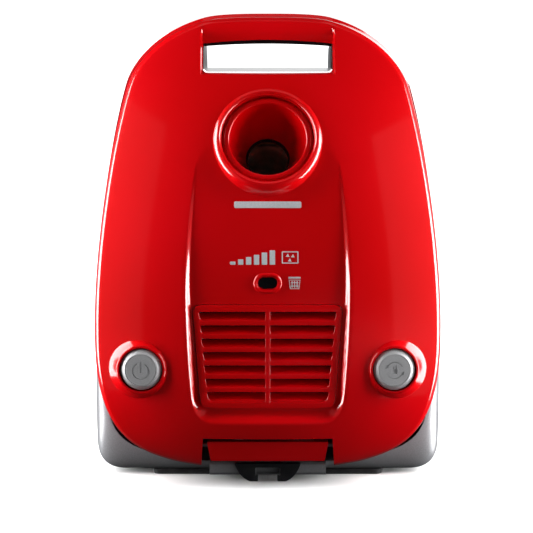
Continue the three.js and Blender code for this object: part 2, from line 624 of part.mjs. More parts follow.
// ---------- motor ----------
function makeMotor() {
  const at = UPWARD(MOTOR.x, MOTOR.y);
  const { can, stator, shaft, top, step, bottom } = MOTOR;
  const skin = 1.6;
  const [eye, barrel, inlet] = [14, stator + 3, 18];
  const outside = [[eye, bottom], [barrel, bottom], [barrel, step], [can, step + 3], [can, top],
    [inlet, top]];
  const inside = [[inlet, top - skin], [can - skin, top - skin], [can - skin, step + 4.5],
    [barrel - skin, step + 1.5], [barrel - skin, bottom + skin], [eye, bottom + skin], [eye, bottom]];
  piece('motor_can', turned([...outside, ...inside], 20, at), STEEL);
  piece('motor_stator', ring(stator + 0.9, 19, bottom + 6, step - 8, at, 20), COPPER);
  const armature = rod(17, bottom + 10, step - 12, at, 24);
  piece('motor_shaft', add(rod(shaft, bottom - 8, 130, at, 20), armature), STEEL);
  const blades = [];
  const bladeCount = 7;
  for (let i = 0; i < bladeCount; i += 1) {
    const turn = new THREE.Matrix4().makeRotationZ(2 * Math.PI * i / bladeCount);
    const blade = new THREE.BoxGeometry(27, 1.6, 11).translate(27.5, 5, 118.4);
    blades.push(solidOf(blade.applyMatrix4(turn).applyMatrix4(at)));
  }
  const hub = [[4.4, 111], [43, 111], [43, 113.2], [9, 113.2], [9, 128], [4.4, 128], [4.4, 111]];
  const disc = turned(hub, 20, at);
  piece('impeller', add(disc, ...blades), STEEL);
  piece('motor_mount_front', ring(46, 30, top + GAP, 146.7, at, 20), RUBBER);
  piece('motor_mount_rear', ring(34, 13, 42, bottom - GAP, at, 20), RUBBER);
}

// ---------- cord reel ----------
function makeReel() {
  const at = BACKWARD(REEL.x, REEL.z);
  const { y, half, drum, core, axle } = REEL;
  const [front, back] = [y - half, y + half];
  const [bore, cheek] = [axle + GAP, 2.4];
  piece('cord_drum', turned([[bore, front], [drum, front], [drum, front + cheek], [core, front + cheek],
    [core, back - cheek], [drum, back - cheek], [drum, back], [bore, back], [bore, front]], 24, at), BLACK);
  const inside = BASE.backY - BASE.skin - GAP;
  piece('reel_axle', rod(axle, -26.7, inside, at, 24), STEEL);
  piece('rewind_spring_case', cut(ring(31, bore, back + 1, back + 13, at, 24),
    ring(28, 11, back + 2.5, back + 14, at, 24)), SILVER);
  const [left, right] = [3, 106.7];
  const [low, high] = [66, 104];
  const leverWindow = box(81.5, 98.5, -31, -26, 83, 98);
  const bar = box(left, right, -30, -27, low, high).subtract(leverWindow);
  const upright = (x0, x1, y0, y1) => box(x0, x1, y0, y1, low, high);
  const legs = add(upright(left, left + 3, -30, inside), upright(right - 3, right, -30, inside));
  const feet = add(upright(left, 16, inside - 2, inside), upright(94, right, inside - 2, inside));
  const lugs = add(box(71, 73.5, -40, -27, 101.5, 111), box(91.5, 94, -40, -27, 101.5, 111));
  const holes = SCREWS.slice(2).map(([, x, z]) => rod(2.2, 70, 90, BACKWARD(x, z), 12));
  piece('reel_bracket', cut(add(bar, legs, feet, lugs), ...holes,
    rod(BRAKE.pin + GAP, 60, 100, ACROSS(BRAKE.y, BRAKE.z), 16)), STEEL);
  const crank = [[82.5, 86], [97.5, 86], [97.5, 98], [91, 99], [91, 112], [84, 112], [84, 122], [74, 122],
    [74, 103], [82.5, 103]];
  const pivot = ACROSS(BRAKE.y, BRAKE.z);
  const lever = add(prismY(crank, -38.5, -33.5), rod(4, 74, 91, pivot, 20));
  piece('brake_lever', cut(lever, rod(BRAKE.pin + GAP, 60, 100, pivot, 16)), BLACK);
  piece('brake_shoe', box(74.5, 83.5, -33.2, front - GAP, 113, 121), RUBBER);
  piece('brake_pin', rod(BRAKE.pin, 70.5, 94.5, pivot, 16), STEEL);
}

function makeSwitch() {
  const body = box(-98, -76, -35.4, -20, 86, 97.6);
  const blades = [-94, -83].map((x) => box(x, x + 5, -20.5, -13, 90, 90.8));
  piece('power_switch', add(body, ...blades), BLACK);
}

// ---------- running gear ----------
function makeWheel(side, word) {
  const span = (from, to) => (side > 0 ? [from, to] : [-to, -from]);
  const at = ACROSS(WHEEL.y, WHEEL.z);
  const { radius, inner, outer, axle } = WHEEL;
  const [bore, felloe] = [axle + 0.3, radius - 7.3];
  const disc = [[bore, inner + 2], [felloe, inner + 2], [felloe, outer - 2], [radius - 12, outer - 2],
    [radius - 12, inner + 8], [12, inner + 8], [12, outer - 8], [bore, outer - 8], [bore, inner + 2]];
  piece(`wheel_${word}`, turned(disc.map(([r, x]) => [r, side * x]), 24, at), SILVER);
  piece(`tyre_${word}`, turned([[radius - 7, inner], [radius - 2, inner], [radius, inner + 3],
    [radius, outer - 3], [radius - 2, outer], [radius - 7, outer], [radius - 7, inner]]
    .map(([r, x]) => [r, side * x]), 24, at), RUBBER);
  const cap = [[0, outer - 7.7], [radius - 14, outer - 7.7], [radius - 13, outer - 4], [24, outer + 1.4],
    [0, outer + 2]];
  piece(`hubcap_${word}`, turned(cap.map(([r, x]) => [r, side * x]), 24, at), SILVER);
  const flange = rod(8, ...span(100, 106.5), at);
  piece(`wheel_axle_${word}`, add(rod(axle, ...span(101, outer - 9), at), flange), STEEL);
}

function makeCaster() {
  const swivel = BACKWARD(0, CASTER.z);
  const { axleY, axleZ, radius, halfWidth } = CASTER;
  piece('caster_socket', ring(20, 5.6, BASE.backY + GAP, 86.2, swivel, 32), BLACK);
  const axleLine = ACROSS(axleY, axleZ);
  const [within, outside, bore] = [9.2, 12, 2.6];
  const cheeks = [[within, outside], [-outside, -within]].map(([x0, x1]) => (
    box(x0, x1, 86.8, 105, axleZ - 5, CASTER.z + 8)));
  const fork = add(rod(16, 86.6, 89, swivel, 24), rod(5, 72, 87, swivel, 16), ...cheeks);
  const wheelSpace = rod(radius + 1.2, -within, within, axleLine, 20);
  piece('caster_fork', cut(fork, rod(bore, -20, 20, axleLine, 16), wheelSpace), BLACK);
  piece('caster_wheel', ring(radius, bore, -halfWidth, halfWidth, axleLine, 24), RUBBER);
  piece('caster_axle', rod(bore - GAP, -12.5, 12.5, axleLine, 16), STEEL);
}

// ---------- rear end ----------
function makeRearEnd() {
  const section = [[-66.7, 5.5], [-64, 3.5], [-40.4, 3.5], [-40.4, 14.2], [-64, 14.2], [-66.7, 12]];
  const block = prismX(section, -45.8, 45.8);
  const catchPosts = add(box(12.9, 16, -58, -54, 13, 31.5), box(-16, -12.9, -58, -54, 13, 31.5),
    box(-16, 16, -58, -54, 28, 31.5));
  const hookPocket = box(-9, 9, -70, -58, 4.3, 11.5);
  piece('insert_panel', cut(add(block, catchPosts), hookPocket), SILVER);
  const half = new THREE.Shape();
  half.moveTo(-26, 14.2);
  half.quadraticCurveTo(-22, 3.5, -14, 0);
  half.lineTo(-7.5, 0);
  half.lineTo(-7.5, 4.3);
  half.lineTo(-9.6, 4.3);
  half.lineTo(-9.6, 11);
  half.lineTo(9.6, 11);
  half.lineTo(9.6, 4.3);
  half.lineTo(7.5, 4.3);
  half.lineTo(7.5, 0);
  half.lineTo(14, 0);
  half.quadraticCurveTo(22, 3.5, 26, 14.2);
  half.closePath();
  piece('parking_bracket', prismY(half, -73, -67), BLACK);
  const strip = roundedOutline([[-91, -46.5], [91, -46.5], [91, 51.5], [-91, 51.5]], 6);
  const clearOfPanel = box(-46.5, 46.5, -60, -39.8, -1, 6);
  piece('rest_strip', cut(prism(strip, 3.8, new THREE.Matrix4()), clearOfPanel), RUBBER);
  const grommet = [[4.5, 1.9], [8.2, 1.9], [8.2, 3.1], [6.6, 3.1], [6.6, 6.9], [7.8, 6.9], [7.8, 8.4],
    [4.5, 8.4], [4.5, 1.9]];
  piece('cord_gland', turned(grommet, 20, UPWARD(GLAND[0], GLAND[1])), RUBBER);
  for (const [name, x, z] of SCREWS) {
    const head = [[0, 84.3], [4.2, 84.3], [3.8, 86], [0, 86.4]];
    piece(name, add(turned(head, 12, BACKWARD(x, z)), rod(1.8, 70, 85, BACKWARD(x, z), 8)), STEEL);
  }
}

piece('tub_shell', makeTub(), SILVER);
makeHandle();
makeChamber();
makeDustBag();
makeMotor();
makeReel();
makeSwitch();
makeWheel(-1, 'left');
makeWheel(1, 'right');
makeCaster();
makeRearEnd();
piece('lid_shell', makeLidShell(), RED);
makePort();
makeGrille();
makeIndicator();
makeLatch();
makeButton(-1, 'power_button');
makeButton(1, 'rewind_button');

export default group;
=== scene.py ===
# Finished surfaces of a cylinder vacuum cleaner parked upright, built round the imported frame.
# Sizes are in millimetres until a mesh is made: X across, -Y the way the lid faces, Z up.
import json
import math

import bmesh
import bpy
import numpy as np
from mathutils import Matrix, Vector, kdtree, noise
from mathutils.geometry import delaunay_2d_cdt


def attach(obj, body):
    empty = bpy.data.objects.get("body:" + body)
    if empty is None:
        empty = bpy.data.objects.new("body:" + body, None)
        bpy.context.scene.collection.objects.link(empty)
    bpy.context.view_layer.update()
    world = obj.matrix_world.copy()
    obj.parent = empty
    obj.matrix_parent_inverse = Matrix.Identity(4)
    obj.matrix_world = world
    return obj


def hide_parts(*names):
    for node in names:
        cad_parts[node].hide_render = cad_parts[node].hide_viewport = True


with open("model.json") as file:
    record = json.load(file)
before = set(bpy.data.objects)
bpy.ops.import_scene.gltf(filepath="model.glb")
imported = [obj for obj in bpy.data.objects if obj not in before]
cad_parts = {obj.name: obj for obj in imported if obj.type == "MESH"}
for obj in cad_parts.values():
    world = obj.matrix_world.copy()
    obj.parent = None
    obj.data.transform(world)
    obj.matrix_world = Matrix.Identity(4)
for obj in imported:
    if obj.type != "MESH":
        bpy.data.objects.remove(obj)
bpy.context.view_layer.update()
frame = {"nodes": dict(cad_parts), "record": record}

MM = 0.001

# ---------- driving dimensions, the same as the frame's ----------
LENGTH = 365.0
RIM_BOTTOM_Y, RIM_TOP_Y = -56.0, -29.0
LID_SKIN = 3.0
FACE_INSET = 5.8  # from the lid's outline to the crease that bounds its face
CREST_Y, CREST_Z, RISE_UP, RISE_DOWN, SIDE_DROP, DROP_POWER = -118.5, 100.0, 81.5, 19.5, 22.0, 2.4
BASE_FLOOR, BASE_HALF, BASE_TOP, BASE_BACK, BASE_SKIN = 3.4, 137.5, 356.0, 84.0, 3.0
HANDLE_HALF, HANDLE_SILL, HANDLE_WALL, HANDLE_BLOCK = 50.4, 319.6, 3.6, 316.0
ARCH_END, ARCH_RISE, ARCH_CORNER = 341.7, 3.0, 4.0  # upper edge of the handle slot, and its sill corners
GRIP_HALF, GRIP_LOW, GRIP_LOW_RISE, GRIP_HIGH, GRIP_HIGH_RISE = 50.1, 339.4, 2.0, 353.4, 2.5
KNUCKLE_NEAR, KNUCKLE_FAR, KNUCKLE_LOW = 54.3, 60.0, 351.2
STEM_R, STEM_TIP = 4.3, -71.2
HINGE_Y, HINGE_Z = -26.0, 354.0
PORT_Y, PORT_Z, PORT_TILT = -92.0, 272.0, math.radians(26)
PORT_BORE, PORT_MOUTH, PORT_THROAT, PORT_DEPTH = 35.2, 31.0, 17.0, 46.0
RECESS_TOP, RECESS_DEEP, RECESS_DEEP_Z = 279.0, 8.0, 100.0
GRILLE_Y, GRILLE_ROWS, GRILLE_PITCH, GRILLE_FIRST, GRILLE_SLOT = -111.8, 7, 10.3, 136.6, 6.4
BUTTON_X, BUTTON_Z, BUTTON_Y, BUTTON_R, BUTTON_TILT = 96.6, 95.9, -114.0, 15.8, math.radians(3)
TAB_TOP, TAB_BOTTOM, TAB_HALF_TOP, TAB_HALF_BOTTOM, TAB_PIN_Y, TAB_PIN_Z = 37.8, 22.0, 46.8, 44.0, -97.4, 34.6
NOTCH_TOP, NOTCH_HALF_TOP, NOTCH_HALF_LOW, NOTCH_WALL = 41.0, 49.8, 53.0, 3.0
WHEEL_Y, WHEEL_Z, WHEEL_R, WHEEL_IN, WHEEL_OUT, WELL_R, WELL_IN = 63.0, 58.0, 52.0, 112.0, 134.0, 55.5, 110.0
CASTER_Z, CASTER_AXLE_Y, CASTER_AXLE_Z, CASTER_R = 292.0, 100.0, 280.0, 13.0
INDICATOR_Z, INDICATOR_FLAT, INDICATOR_Y, INDICATOR_R = 162.0, 3.05, -110.4, 7.85
GLAND_X, GLAND_Y = 99.8, -12.0
BAG = {"y": 28.0, "z": 233.0, "half_x": 98.0, "half_y": 40.0, "half_z": 70.0}
SCREWS = [(-82.0, 148.7), (82.0, 148.7), (9.5, 85.0), (100.5, 85.0)]


# ---------- solids ----------
def solid(points, faces, name="solid"):
    """A mesh object from points in millimetres, with its faces turned outwards."""
    mesh = bpy.data.meshes.new(name)
    mesh.from_pydata((np.asarray(points, float) * MM).tolist(), [], faces)
    turn_outwards(mesh, 1e-7)
    return linked(name, mesh)


def evaluated(obj):
    """Applies the modifiers of obj to its mesh."""
    bpy.context.view_layer.update()
    graph = bpy.context.evaluated_depsgraph_get()
    mesh = bpy.data.meshes.new_from_object(obj.evaluated_get(graph), depsgraph=graph)
    old = obj.data
    obj.modifiers.clear()
    obj.data = mesh
    bpy.data.meshes.remove(old)
    return obj


def linked(name, data):
    """A new object of the data, in the scene."""
    obj = bpy.data.objects.new(name, data)
    bpy.context.scene.collection.objects.link(obj)
    return obj


def turn_outwards(mesh, merge):
    """Merges points closer than merge and turns the faces outwards."""
    work = bmesh.new()
    work.from_mesh(mesh)
    bmesh.ops.remove_doubles(work, verts=work.verts, dist=merge)
    bmesh.ops.recalc_face_normals(work, faces=work.faces)
    work.to_mesh(mesh)
    work.free()


def combine(first, others, operation):
    for other in others:
        modifier = first.modifiers.new("combine", "BOOLEAN")
        modifier.solver = "MANIFOLD"
        modifier.operation = operation
        modifier.object = other
        evaluated(first)
        bpy.data.objects.remove(other)
    return first


def add(first, *others):
    return combine(first, others, "UNION")


def cut(first, *others):
    return combine(first, others, "DIFFERENCE")


def common(first, *others):
    return combine(first, others, "INTERSECT")


def copy_of(obj):
    twin = obj.copy()
    twin.data = obj.data.copy()
    bpy.context.scene.collection.objects.link(twin)
    return twin


def join(first, *others):
    """Puts separate closed bodies into one piece."""
    work = bmesh.new()
    for obj in (first, *others):
        work.from_mesh(obj.data)
    work.to_mesh(first.data)
    work.free()
    for obj in others:
        bpy.data.objects.remove(obj)
    return first


def band(first, second, count):
    """The faces between two rings of points that start at the indices first and second."""
    return [(first + i, first + (i + 1) % count, second + (i + 1) % count, second + i) for i in range(count)]


def loft(rings, name="solid"):
    """A closed body through rings of equal length, capped at both ends."""
    count = len(rings[0])
    faces = []
    for r in range(len(rings) - 1):
        faces += band(r * count, (r + 1) * count, count)
    faces.append(tuple(range(count - 1, -1, -1)))
    last = (len(rings) - 1) * count
    faces.append(tuple(range(last, last + count)))
    return solid(np.concatenate(rings), faces, name)


def placed(obj, place):
    """Moves a mesh built in millimetres at the origin to a place in the frame."""
    matrix = place.copy()
    matrix.translation = matrix.translation * MM
    obj.data.transform(matrix)
    if matrix.determinant() < 0:
        obj.data.flip_normals()
    return obj


def axes(x_axis, y_axis, z_axis, origin):
    matrix = Matrix.Identity(4)
    for column, axis in enumerate((x_axis, y_axis, z_axis)):
        for row in range(3):
            matrix[row][column] = axis[row]
    matrix.translation = Vector(origin)
    return matrix


def across(y, z):
    return axes((0, 1, 0), (0, 0, 1), (1, 0, 0), (0, y, z))


def backward(x, z):
    return axes((0, 0, 1), (1, 0, 0), (0, 1, 0), (x, 0, z))


def upward(x, y):
    return Matrix.Translation((x, y, 0))


SIN_P, COS_P = math.sin(PORT_TILT), math.cos(PORT_TILT)
AT_PORT = axes((1, 0, 0), (0, SIN_P, COS_P), (0, -COS_P, SIN_P), (0, PORT_Y, PORT_Z))


AT_HINGE = across(HINGE_Y, HINGE_Z)


def at_button(side):
    s, c = math.sin(BUTTON_TILT), math.cos(BUTTON_TILT)
    return axes((c, side * s, 0), (0, 0, 1), (side * s, -c, 0), (side * BUTTON_X, BUTTON_Y, BUTTON_Z))


def rounded(points, radius, steps=4, closed=True):
    """A polyline with its corners rounded by short curves."""
    points = [np.array(p, float) for p in points]
    count = len(points)
    result = []
    for i, here in enumerate(points):
        if not closed and i in (0, count - 1):
            result.append(here)
            continue
        before, after = points[i - 1] - here, points[(i + 1) % count] - here
        lengths = [max(np.linalg.norm(v), 1e-9) for v in (before, after)]
        reach = [min(radius, 0.45 * length) / length for length in lengths]
        start, end = here + before * reach[0], here + after * reach[1]
        for k in range(steps + 1):
            t = k / steps
            result.append((1 - t) ** 2 * start + 2 * t * (1 - t) * here + t * t * end)
    return result


def lathe(profile, place, segments=72, soft=0.0):
    """A body of revolution about the place's Z axis, through (radius, distance) points."""
    on_axis = profile[0][0] < 1e-6 and profile[-1][0] < 1e-6
    if soft:
        profile = rounded(profile, soft, 3, closed=not on_axis)
    points, faces, start = [], [], []
    for radius, along in profile:
        start.append(len(points))
        if radius < 1e-6:
            points.append((0, 0, along))
            continue
        for i in range(segments):
            turn = 2 * math.pi * i / segments
            points.append((radius * math.cos(turn), radius * math.sin(turn), along))
    pairs = list(zip(range(len(profile)), range(1, len(profile))))
    if not on_axis:
        pairs.append((len(profile) - 1, 0))
    for low, high in pairs:
        for i in range(segments):
            j = (i + 1) % segments
            ends = ((low, i), (low, j), (high, j), (high, i))
            corners = [start[ring] + (k if profile[ring][0] > 1e-6 else 0) for ring, k in ends]
            corners = list(dict.fromkeys(corners))
            if len(corners) > 2:
                faces.append(tuple(corners))
    return placed(solid(points, faces), place)


def rod(radius, low, high, place, segments=48, edge=0.0):
    """A round bar with its rims rounded by edge."""
    profile = [(0, low), (radius, low), (radius, high), (0, high)]
    return lathe(profile, place, segments, edge)


def inset(loop, distance):
    """Moves a closed anticlockwise outline inwards."""
    loop = np.asarray(loop, float)
    along = np.roll(loop, -1, axis=0) - np.roll(loop, 1, axis=0)
    along /= np.linalg.norm(along, axis=1)[:, None]
    return loop + np.column_stack([-along[:, 1], along[:, 0]]) * distance


def prism(outline, low, high, place, edge=0.0):
    """A plate of the outline, in the place's XY plane, with its edges rounded by edge."""
    outline = np.asarray(outline, float)
    area = np.sum(outline[:, 0] * np.roll(outline[:, 1], -1) - outline[:, 1] * np.roll(outline[:, 0], -1))
    if area < 0:
        outline = outline[::-1]
    levels = [(0.0, low), (0.0, high)]
    if edge:
        turns = [t * math.pi / 2 for t in (0.0, 0.3, 0.65, 1.0)]
        curve = [(edge * (1 - math.sin(t)), edge * (1 - math.cos(t))) for t in turns]
        levels = [(i, low + d) for i, d in curve] + [(i, high - d) for i, d in reversed(curve)]
    rings = [np.column_stack([inset(outline, i), np.full(len(outline), level)]) for i, level in levels]
    return placed(loft(rings), place)


FACING = axes((1, 0, 0), (0, 0, 1), (0, -1, 0), (0, 0, 0))  # outlines in X and Z, heights towards the front
FACING_BACK = FACING @ Matrix.Diagonal((1, 1, -1, 1))  # the same outlines, heights towards the back


def front_prism(outline, y_front, y_back, edge=0.0):
    return prism(outline, -y_back, -y_front, FACING, edge)


def side_prism(outline, x0, x1, edge=0.0):
    """Outline in (y, z), standing from x0 to x1."""
    return prism(outline, x0, x1, across(0, 0), edge)


def box(x0, x1, y0, y1, z0, z1, edge=0.0):
    corners = [(x0, y0), (x1, y0), (x1, y1), (x0, y1)]
    outline = rounded(corners, edge, 3) if edge else corners
    return prism(outline, z0, z1, Matrix.Identity(4), edge)


def rectangle(x0, x1, z0, z1, radius, steps=5):
    return rounded([(x0, z0), (x1, z0), (x1, z1), (x0, z1)], radius, steps)


def plate_with_holes(outline, holes, y_front, y_back, edge, name="plate"):
    """A flat plate with rounded edges, facing the front, made as a filled curve."""
    curve = bpy.data.curves.new(name, "CURVE")
    curve.dimensions = "2D"
    curve.fill_mode = "BOTH"
    curve.extrude = (y_back - y_front) / 2 * MM - edge * MM
    curve.bevel_depth = edge * MM
    curve.bevel_resolution = 2
    curve.offset = -edge * MM
    for loop in (outline, *holes):
        spline = curve.splines.new("POLY")
        spline.points.add(len(loop) - 1)
        spline.use_cyclic_u = True
        for point, (x, z) in zip(spline.points, loop):
            point.co = (x * MM, z * MM, 0, 1)
    maker = linked(name, curve)
    bpy.context.view_layer.update()
    graph = bpy.context.evaluated_depsgraph_get()
    mesh = bpy.data.meshes.new_from_object(maker.evaluated_get(graph), depsgraph=graph)
    bpy.data.objects.remove(maker)
    turn_outwards(mesh, 2e-6)
    obj = linked(name, mesh)
    place = FACING.copy()
    place.translation = Vector((0, (y_front + y_back) / 2, 0))
    return placed(obj, place)


def finish_piece(obj, name, body, material, nodes=(), crease=32.0):
    """Names a piece, shades it, gives it its material and fastens it to its body."""
    obj.name = name
    obj.data.name = name
    obj.data.materials.clear()
    obj.data.materials.append(material)
    obj.data.shade_smooth()
    obj.data.set_sharp_from_angle(angle=math.radians(crease))
    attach(obj, body)
    if nodes:
        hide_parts(*nodes)
    return obj


# ---------- outlines of the body, seen from the front ----------
def bezier(a, b, c, d, steps):
    t = np.linspace(0, 1, steps + 1)[1:, None]
    a, b, c, d = (np.array(p, float) for p in (a, b, c, d))
    return (1 - t) ** 3 * a + 3 * t * (1 - t) ** 2 * b + 3 * t * t * (1 - t) * c + t ** 3 * d


def closed_loop(curves, count=None, steps=None):
    """The curves of the right half and their mirror image, evenly spaced if count is given."""
    steps = steps or [24] * len(curves)
    half = np.vstack([[curves[0][0]], *[bezier(*points, n) for points, n in zip(curves, steps)]])
    if count:
        length = np.concatenate([[0], np.cumsum(np.linalg.norm(np.diff(half, axis=0), axis=1))])
        at = np.linspace(0, length[-1], count // 2 + 1)
        half = np.column_stack([np.interp(at, length, half[:, 0]), np.interp(at, length, half[:, 1])])
    left = half[1:-1][::-1] * [-1, 1]
    return np.vstack([half, left])


LID_CURVES = [
    ((0, 10.8), (30, 10.8), (55, 11.5), (72, 14.5)),
    ((72, 14.5), (112, 24), (137, 48), (135.7, 125)),
    ((135.7, 125), (135.7, 185), (123.4, 270), (111.2, 311)),
    ((111.2, 311), (106, 328), (86, 352.6), (48, 362.4)),
    ((48, 362.4), (36.5, 365), (15, LENGTH), (0, LENGTH)),
]


def lid_loop(count):
    return closed_loop(LID_CURVES, count)


def base_loop(top, count):
    """The base behind the lid: square rear corners, and an upper end at z = top."""
    waist = 150.0

    def z(height):
        return waist + (height - waist) * (top - waist) / (LENGTH - waist)

    floor, wide = BASE_FLOOR, BASE_HALF
    return closed_loop([
        ((0, floor), (40, floor), (80, floor), (112, floor)),
        ((112, floor), (127, floor), (134.4, 9), (136, 22)),
        ((136, 22), (wide, 36), (wide, 95), (134.7, 125)),
        ((134.7, 125), (134.2, 185), (122.4, z(270)), (110.2, z(311))),
        ((110.2, z(311)), (105, z(328)), (85, z(352.6)), (47, z(362.4))),
        ((47, z(362.4)), (35.5, z(LENGTH)), (15, z(LENGTH)), (0, z(LENGTH))),
    ], count)


def rim_y(z):
    return RIM_BOTTOM_Y + (RIM_TOP_Y - RIM_BOTTOM_Y) * z / LENGTH


def at_depth(loop, y):
    y = y(loop) if callable(y) else np.full(len(loop), float(y))
    return np.column_stack([loop[:, 0], y, loop[:, 1]])


# ---------- the front surface of the lid ----------
WIDTH_HALF = lid_loop(480)[:241]


def half_width(z):
    return np.interp(z, WIDTH_HALF[:, 1], WIDTH_HALF[:, 0])


def crest(z):
    up = RISE_UP * np.clip((z - CREST_Z) / (LENGTH - CREST_Z), 0, None) ** DROP_POWER
    down = RISE_DOWN * np.clip((CREST_Z - z) / (CREST_Z - TAB_BOTTOM), 0, None) ** DROP_POWER
    return CREST_Y + up + down


def plain_front(x, z):
    share = np.minimum(1, np.abs(x) / np.maximum(1, half_width(z)))
    return crest(z) + SIDE_DROP * (1 - (z / LENGTH) ** 6) * share ** DROP_POWER


def recess_loops(levels):
    """Outlines of the recess from the top of its wall (0) to the foot of its wall (1)."""
    steps = [12, 10, 26, 40, 24]
    lip = [((0, 53), (20, 53), (32, 53), (42, 53)),
           ((42, 53), (52, 53), (57.5, 60), (58.9, 73)),
           ((58.9, 73), (61.5, 100), (63.6, 130), (63, 165)),
           ((63, 165), (62.2, 200), (57.5, 240), (51.5, RECESS_TOP)),
           ((51.5, RECESS_TOP), (34, RECESS_TOP), (17, RECESS_TOP), (0, RECESS_TOP))]
    end = RECESS_TOP - 1
    foot = [((0, 64.4), (20, 64.4), (32, 64.4), (41, 64.4)),
            ((41, 64.4), (48, 64.4), (52.6, 69), (53.4, 76)),
            ((53.4, 76), (55.2, 105), (58.8, 140), (58.9, 165)),
            ((58.9, 165), (58.4, 200), (55.2, 240), (50.6, end)),
            ((50.6, end), (34, end), (17, end), (0, end))]
    lip, foot = closed_loop(lip, steps=steps), closed_loop(foot, steps=steps)
    return [lip + (foot - lip) * level for level in levels]


RECESS_LIP, RECESS_FOOT = recess_loops([0, 1])


def inside(points, loop):
    """True for the points that lie inside a closed loop."""
    x, z = points[:, 0][:, None], points[:, 1][:, None]
    x0, z0 = loop[:, 0][None], loop[:, 1][None]
    x1, z1 = np.roll(loop[:, 0], -1)[None], np.roll(loop[:, 1], -1)[None]
    crosses = (z0 > z) != (z1 > z)
    with np.errstate(divide="ignore", invalid="ignore"):
        at = x0 + (z - z0) * (x1 - x0) / (z1 - z0)
    return np.sum(crosses & (x < at), axis=1) % 2 == 1


def distance_to(points, loop):
    """Distance of each point to a closed loop."""
    start, end = loop, np.roll(loop, -1, axis=0)
    along = end - start
    length = np.maximum(np.sum(along * along, axis=1), 1e-12)
    best = np.full(len(points), 1e9)
    for a, d, l in zip(start, along, length):
        t = np.clip(((points - a) @ d) / l, 0, 1)
        best = np.minimum(best, np.linalg.norm(points - a - t[:, None] * d, axis=1))
    return best


def ramp(share, bend=0.2):
    """A straight slope from 0 to 1 whose two ends bend smoothly into the level."""
    share = np.clip(share, 0, 1)
    low = share ** 2 / (2 * bend * (1 - bend))
    high = 1 - (1 - share) ** 2 / (2 * bend * (1 - bend))
    middle = (share - bend / 2) / (1 - bend)
    return np.where(share < bend, low, np.where(share > 1 - bend, high, middle))


BAR_PROFILE = np.array([(319.6, -60.5), (335, -50), (341, -42), (344, -41.6), (348, -43), (352, -43),
                        (358, -40.5), (364, -36), (370, -32)])


def front(points):
    """The y of the lid's front surface at points (x, z), with its recess and its handle bar."""
    x, z = points[:, 0], points[:, 1]
    y = plain_front(x, z)
    in_lip, in_foot = inside(points, RECESS_LIP), inside(points, RECESS_FOOT)
    band = in_lip & ~in_foot
    share = in_foot.astype(float)
    if band.any():
        lip, foot = distance_to(points[band], RECESS_LIP), distance_to(points[band], RECESS_FOOT)
        share[band] = lip / np.maximum(lip + foot, 1e-9)
    depth = RECESS_DEEP * np.clip((RECESS_TOP - z) / (RECESS_TOP - RECESS_DEEP_Z), 0, 1) ** 0.8
    floor = crest(z) + depth + 1.2 * (x / 60) ** 2
    y = y + ramp(share) * np.maximum(floor - y, 0)
    bar = np.interp(z, BAR_PROFILE[:, 0], BAR_PROFILE[:, 1])
    step = np.clip((52.2 - np.abs(x)) / 1.4, 0, 1) * (z > HANDLE_SILL)
    return y + ramp(step) * np.maximum(bar - y, 0)


def face_net(boundary, lines, spacing):
    """Triangles over the face: its boundary, its feature lines and an even net between them."""
    fixed = np.vstack([boundary, *[line for line, _ in lines]])
    edges, start = [], len(boundary)
    for line, is_closed in lines:
        count = len(line)
        edges += [(start + i, start + (i + 1) % count) for i in range(count if is_closed else count - 1)]
        start += count
    rows = np.arange(boundary[:, 1].min(), boundary[:, 1].max(), spacing * 0.866)
    columns = np.arange(-140, 140, spacing)
    net = np.array([(x + (0.5 * spacing if i % 2 else 0), z) for i, z in enumerate(rows) for x in columns])
    net = net[inside(net, boundary)]
    tree = kdtree.KDTree(len(fixed))
    for i, (x, z) in enumerate(fixed):
        tree.insert((x, z, 0), i)
    tree.balance()
    net = np.array([p for p in net if tree.find((p[0], p[1], 0))[2] > 0.62 * spacing])
    flat = [Vector(p) for p in np.vstack([fixed, net])]
    result = delaunay_2d_cdt(flat, edges, [list(range(len(boundary)))], 1, 1e-4)
    return np.array([(p.x, p.y) for p in result[0]]), [tuple(face) for face in result[2]]


def lid_body(skin, rim_offset, spacing, count):
    """The lid from its rim plane to its face, moved in by skin, as one closed body."""
    face_edge = inset(lid_loop(count), FACE_INSET + skin)
    lines = [(loop, True) for loop in recess_loops([0, 0.1, 0.2, 0.5, 0.8, 0.9, 1])]
    top = np.arange(HANDLE_SILL + 0.5, LENGTH - 12 - 1.2 * skin, 2.0)
    for x in (52.2, 51.9, 51.5, 51.1, 50.8):
        lines += [(np.column_stack([np.full(len(top), side * x), top]), False) for side in (-1, 1)]
    net, faces = face_net(face_edge, lines, spacing)
    net_points = np.column_stack([net[:, 0], front(net) + skin, net[:, 1]])

    def behind_face(extra):
        return lambda loop: np.minimum(front(loop) + skin + extra, rim_y(loop[:, 1]) - 2)

    edge = ((5.6, 0.06), (5.4, 0.2), (3.3, 1.85), (3.1, 2.1), (2.9, 2.6), (2.7, 3.4), (2.5, 5.0), (2.4, 7.0))
    rings = [at_depth(inset(lid_loop(count), skin + i), behind_face(extra)) for i, extra in edge]
    rim = at_depth(inset(lid_loop(count), skin), lambda loop: rim_y(loop[:, 1]) + rim_offset)
    middle = rings[-1] * 0.5 + rim * 0.5
    rings = [at_depth(face_edge, behind_face(0)), *rings, middle, rim]
    points = np.vstack([net_points, *rings])
    for r in range(len(rings) - 1):
        first = len(net_points) + r * count
        faces += band(first, first + count, count)
    last = len(net_points) + (len(rings) - 1) * count
    faces.append(tuple(range(last, last + count)))
    return solid(points, faces)


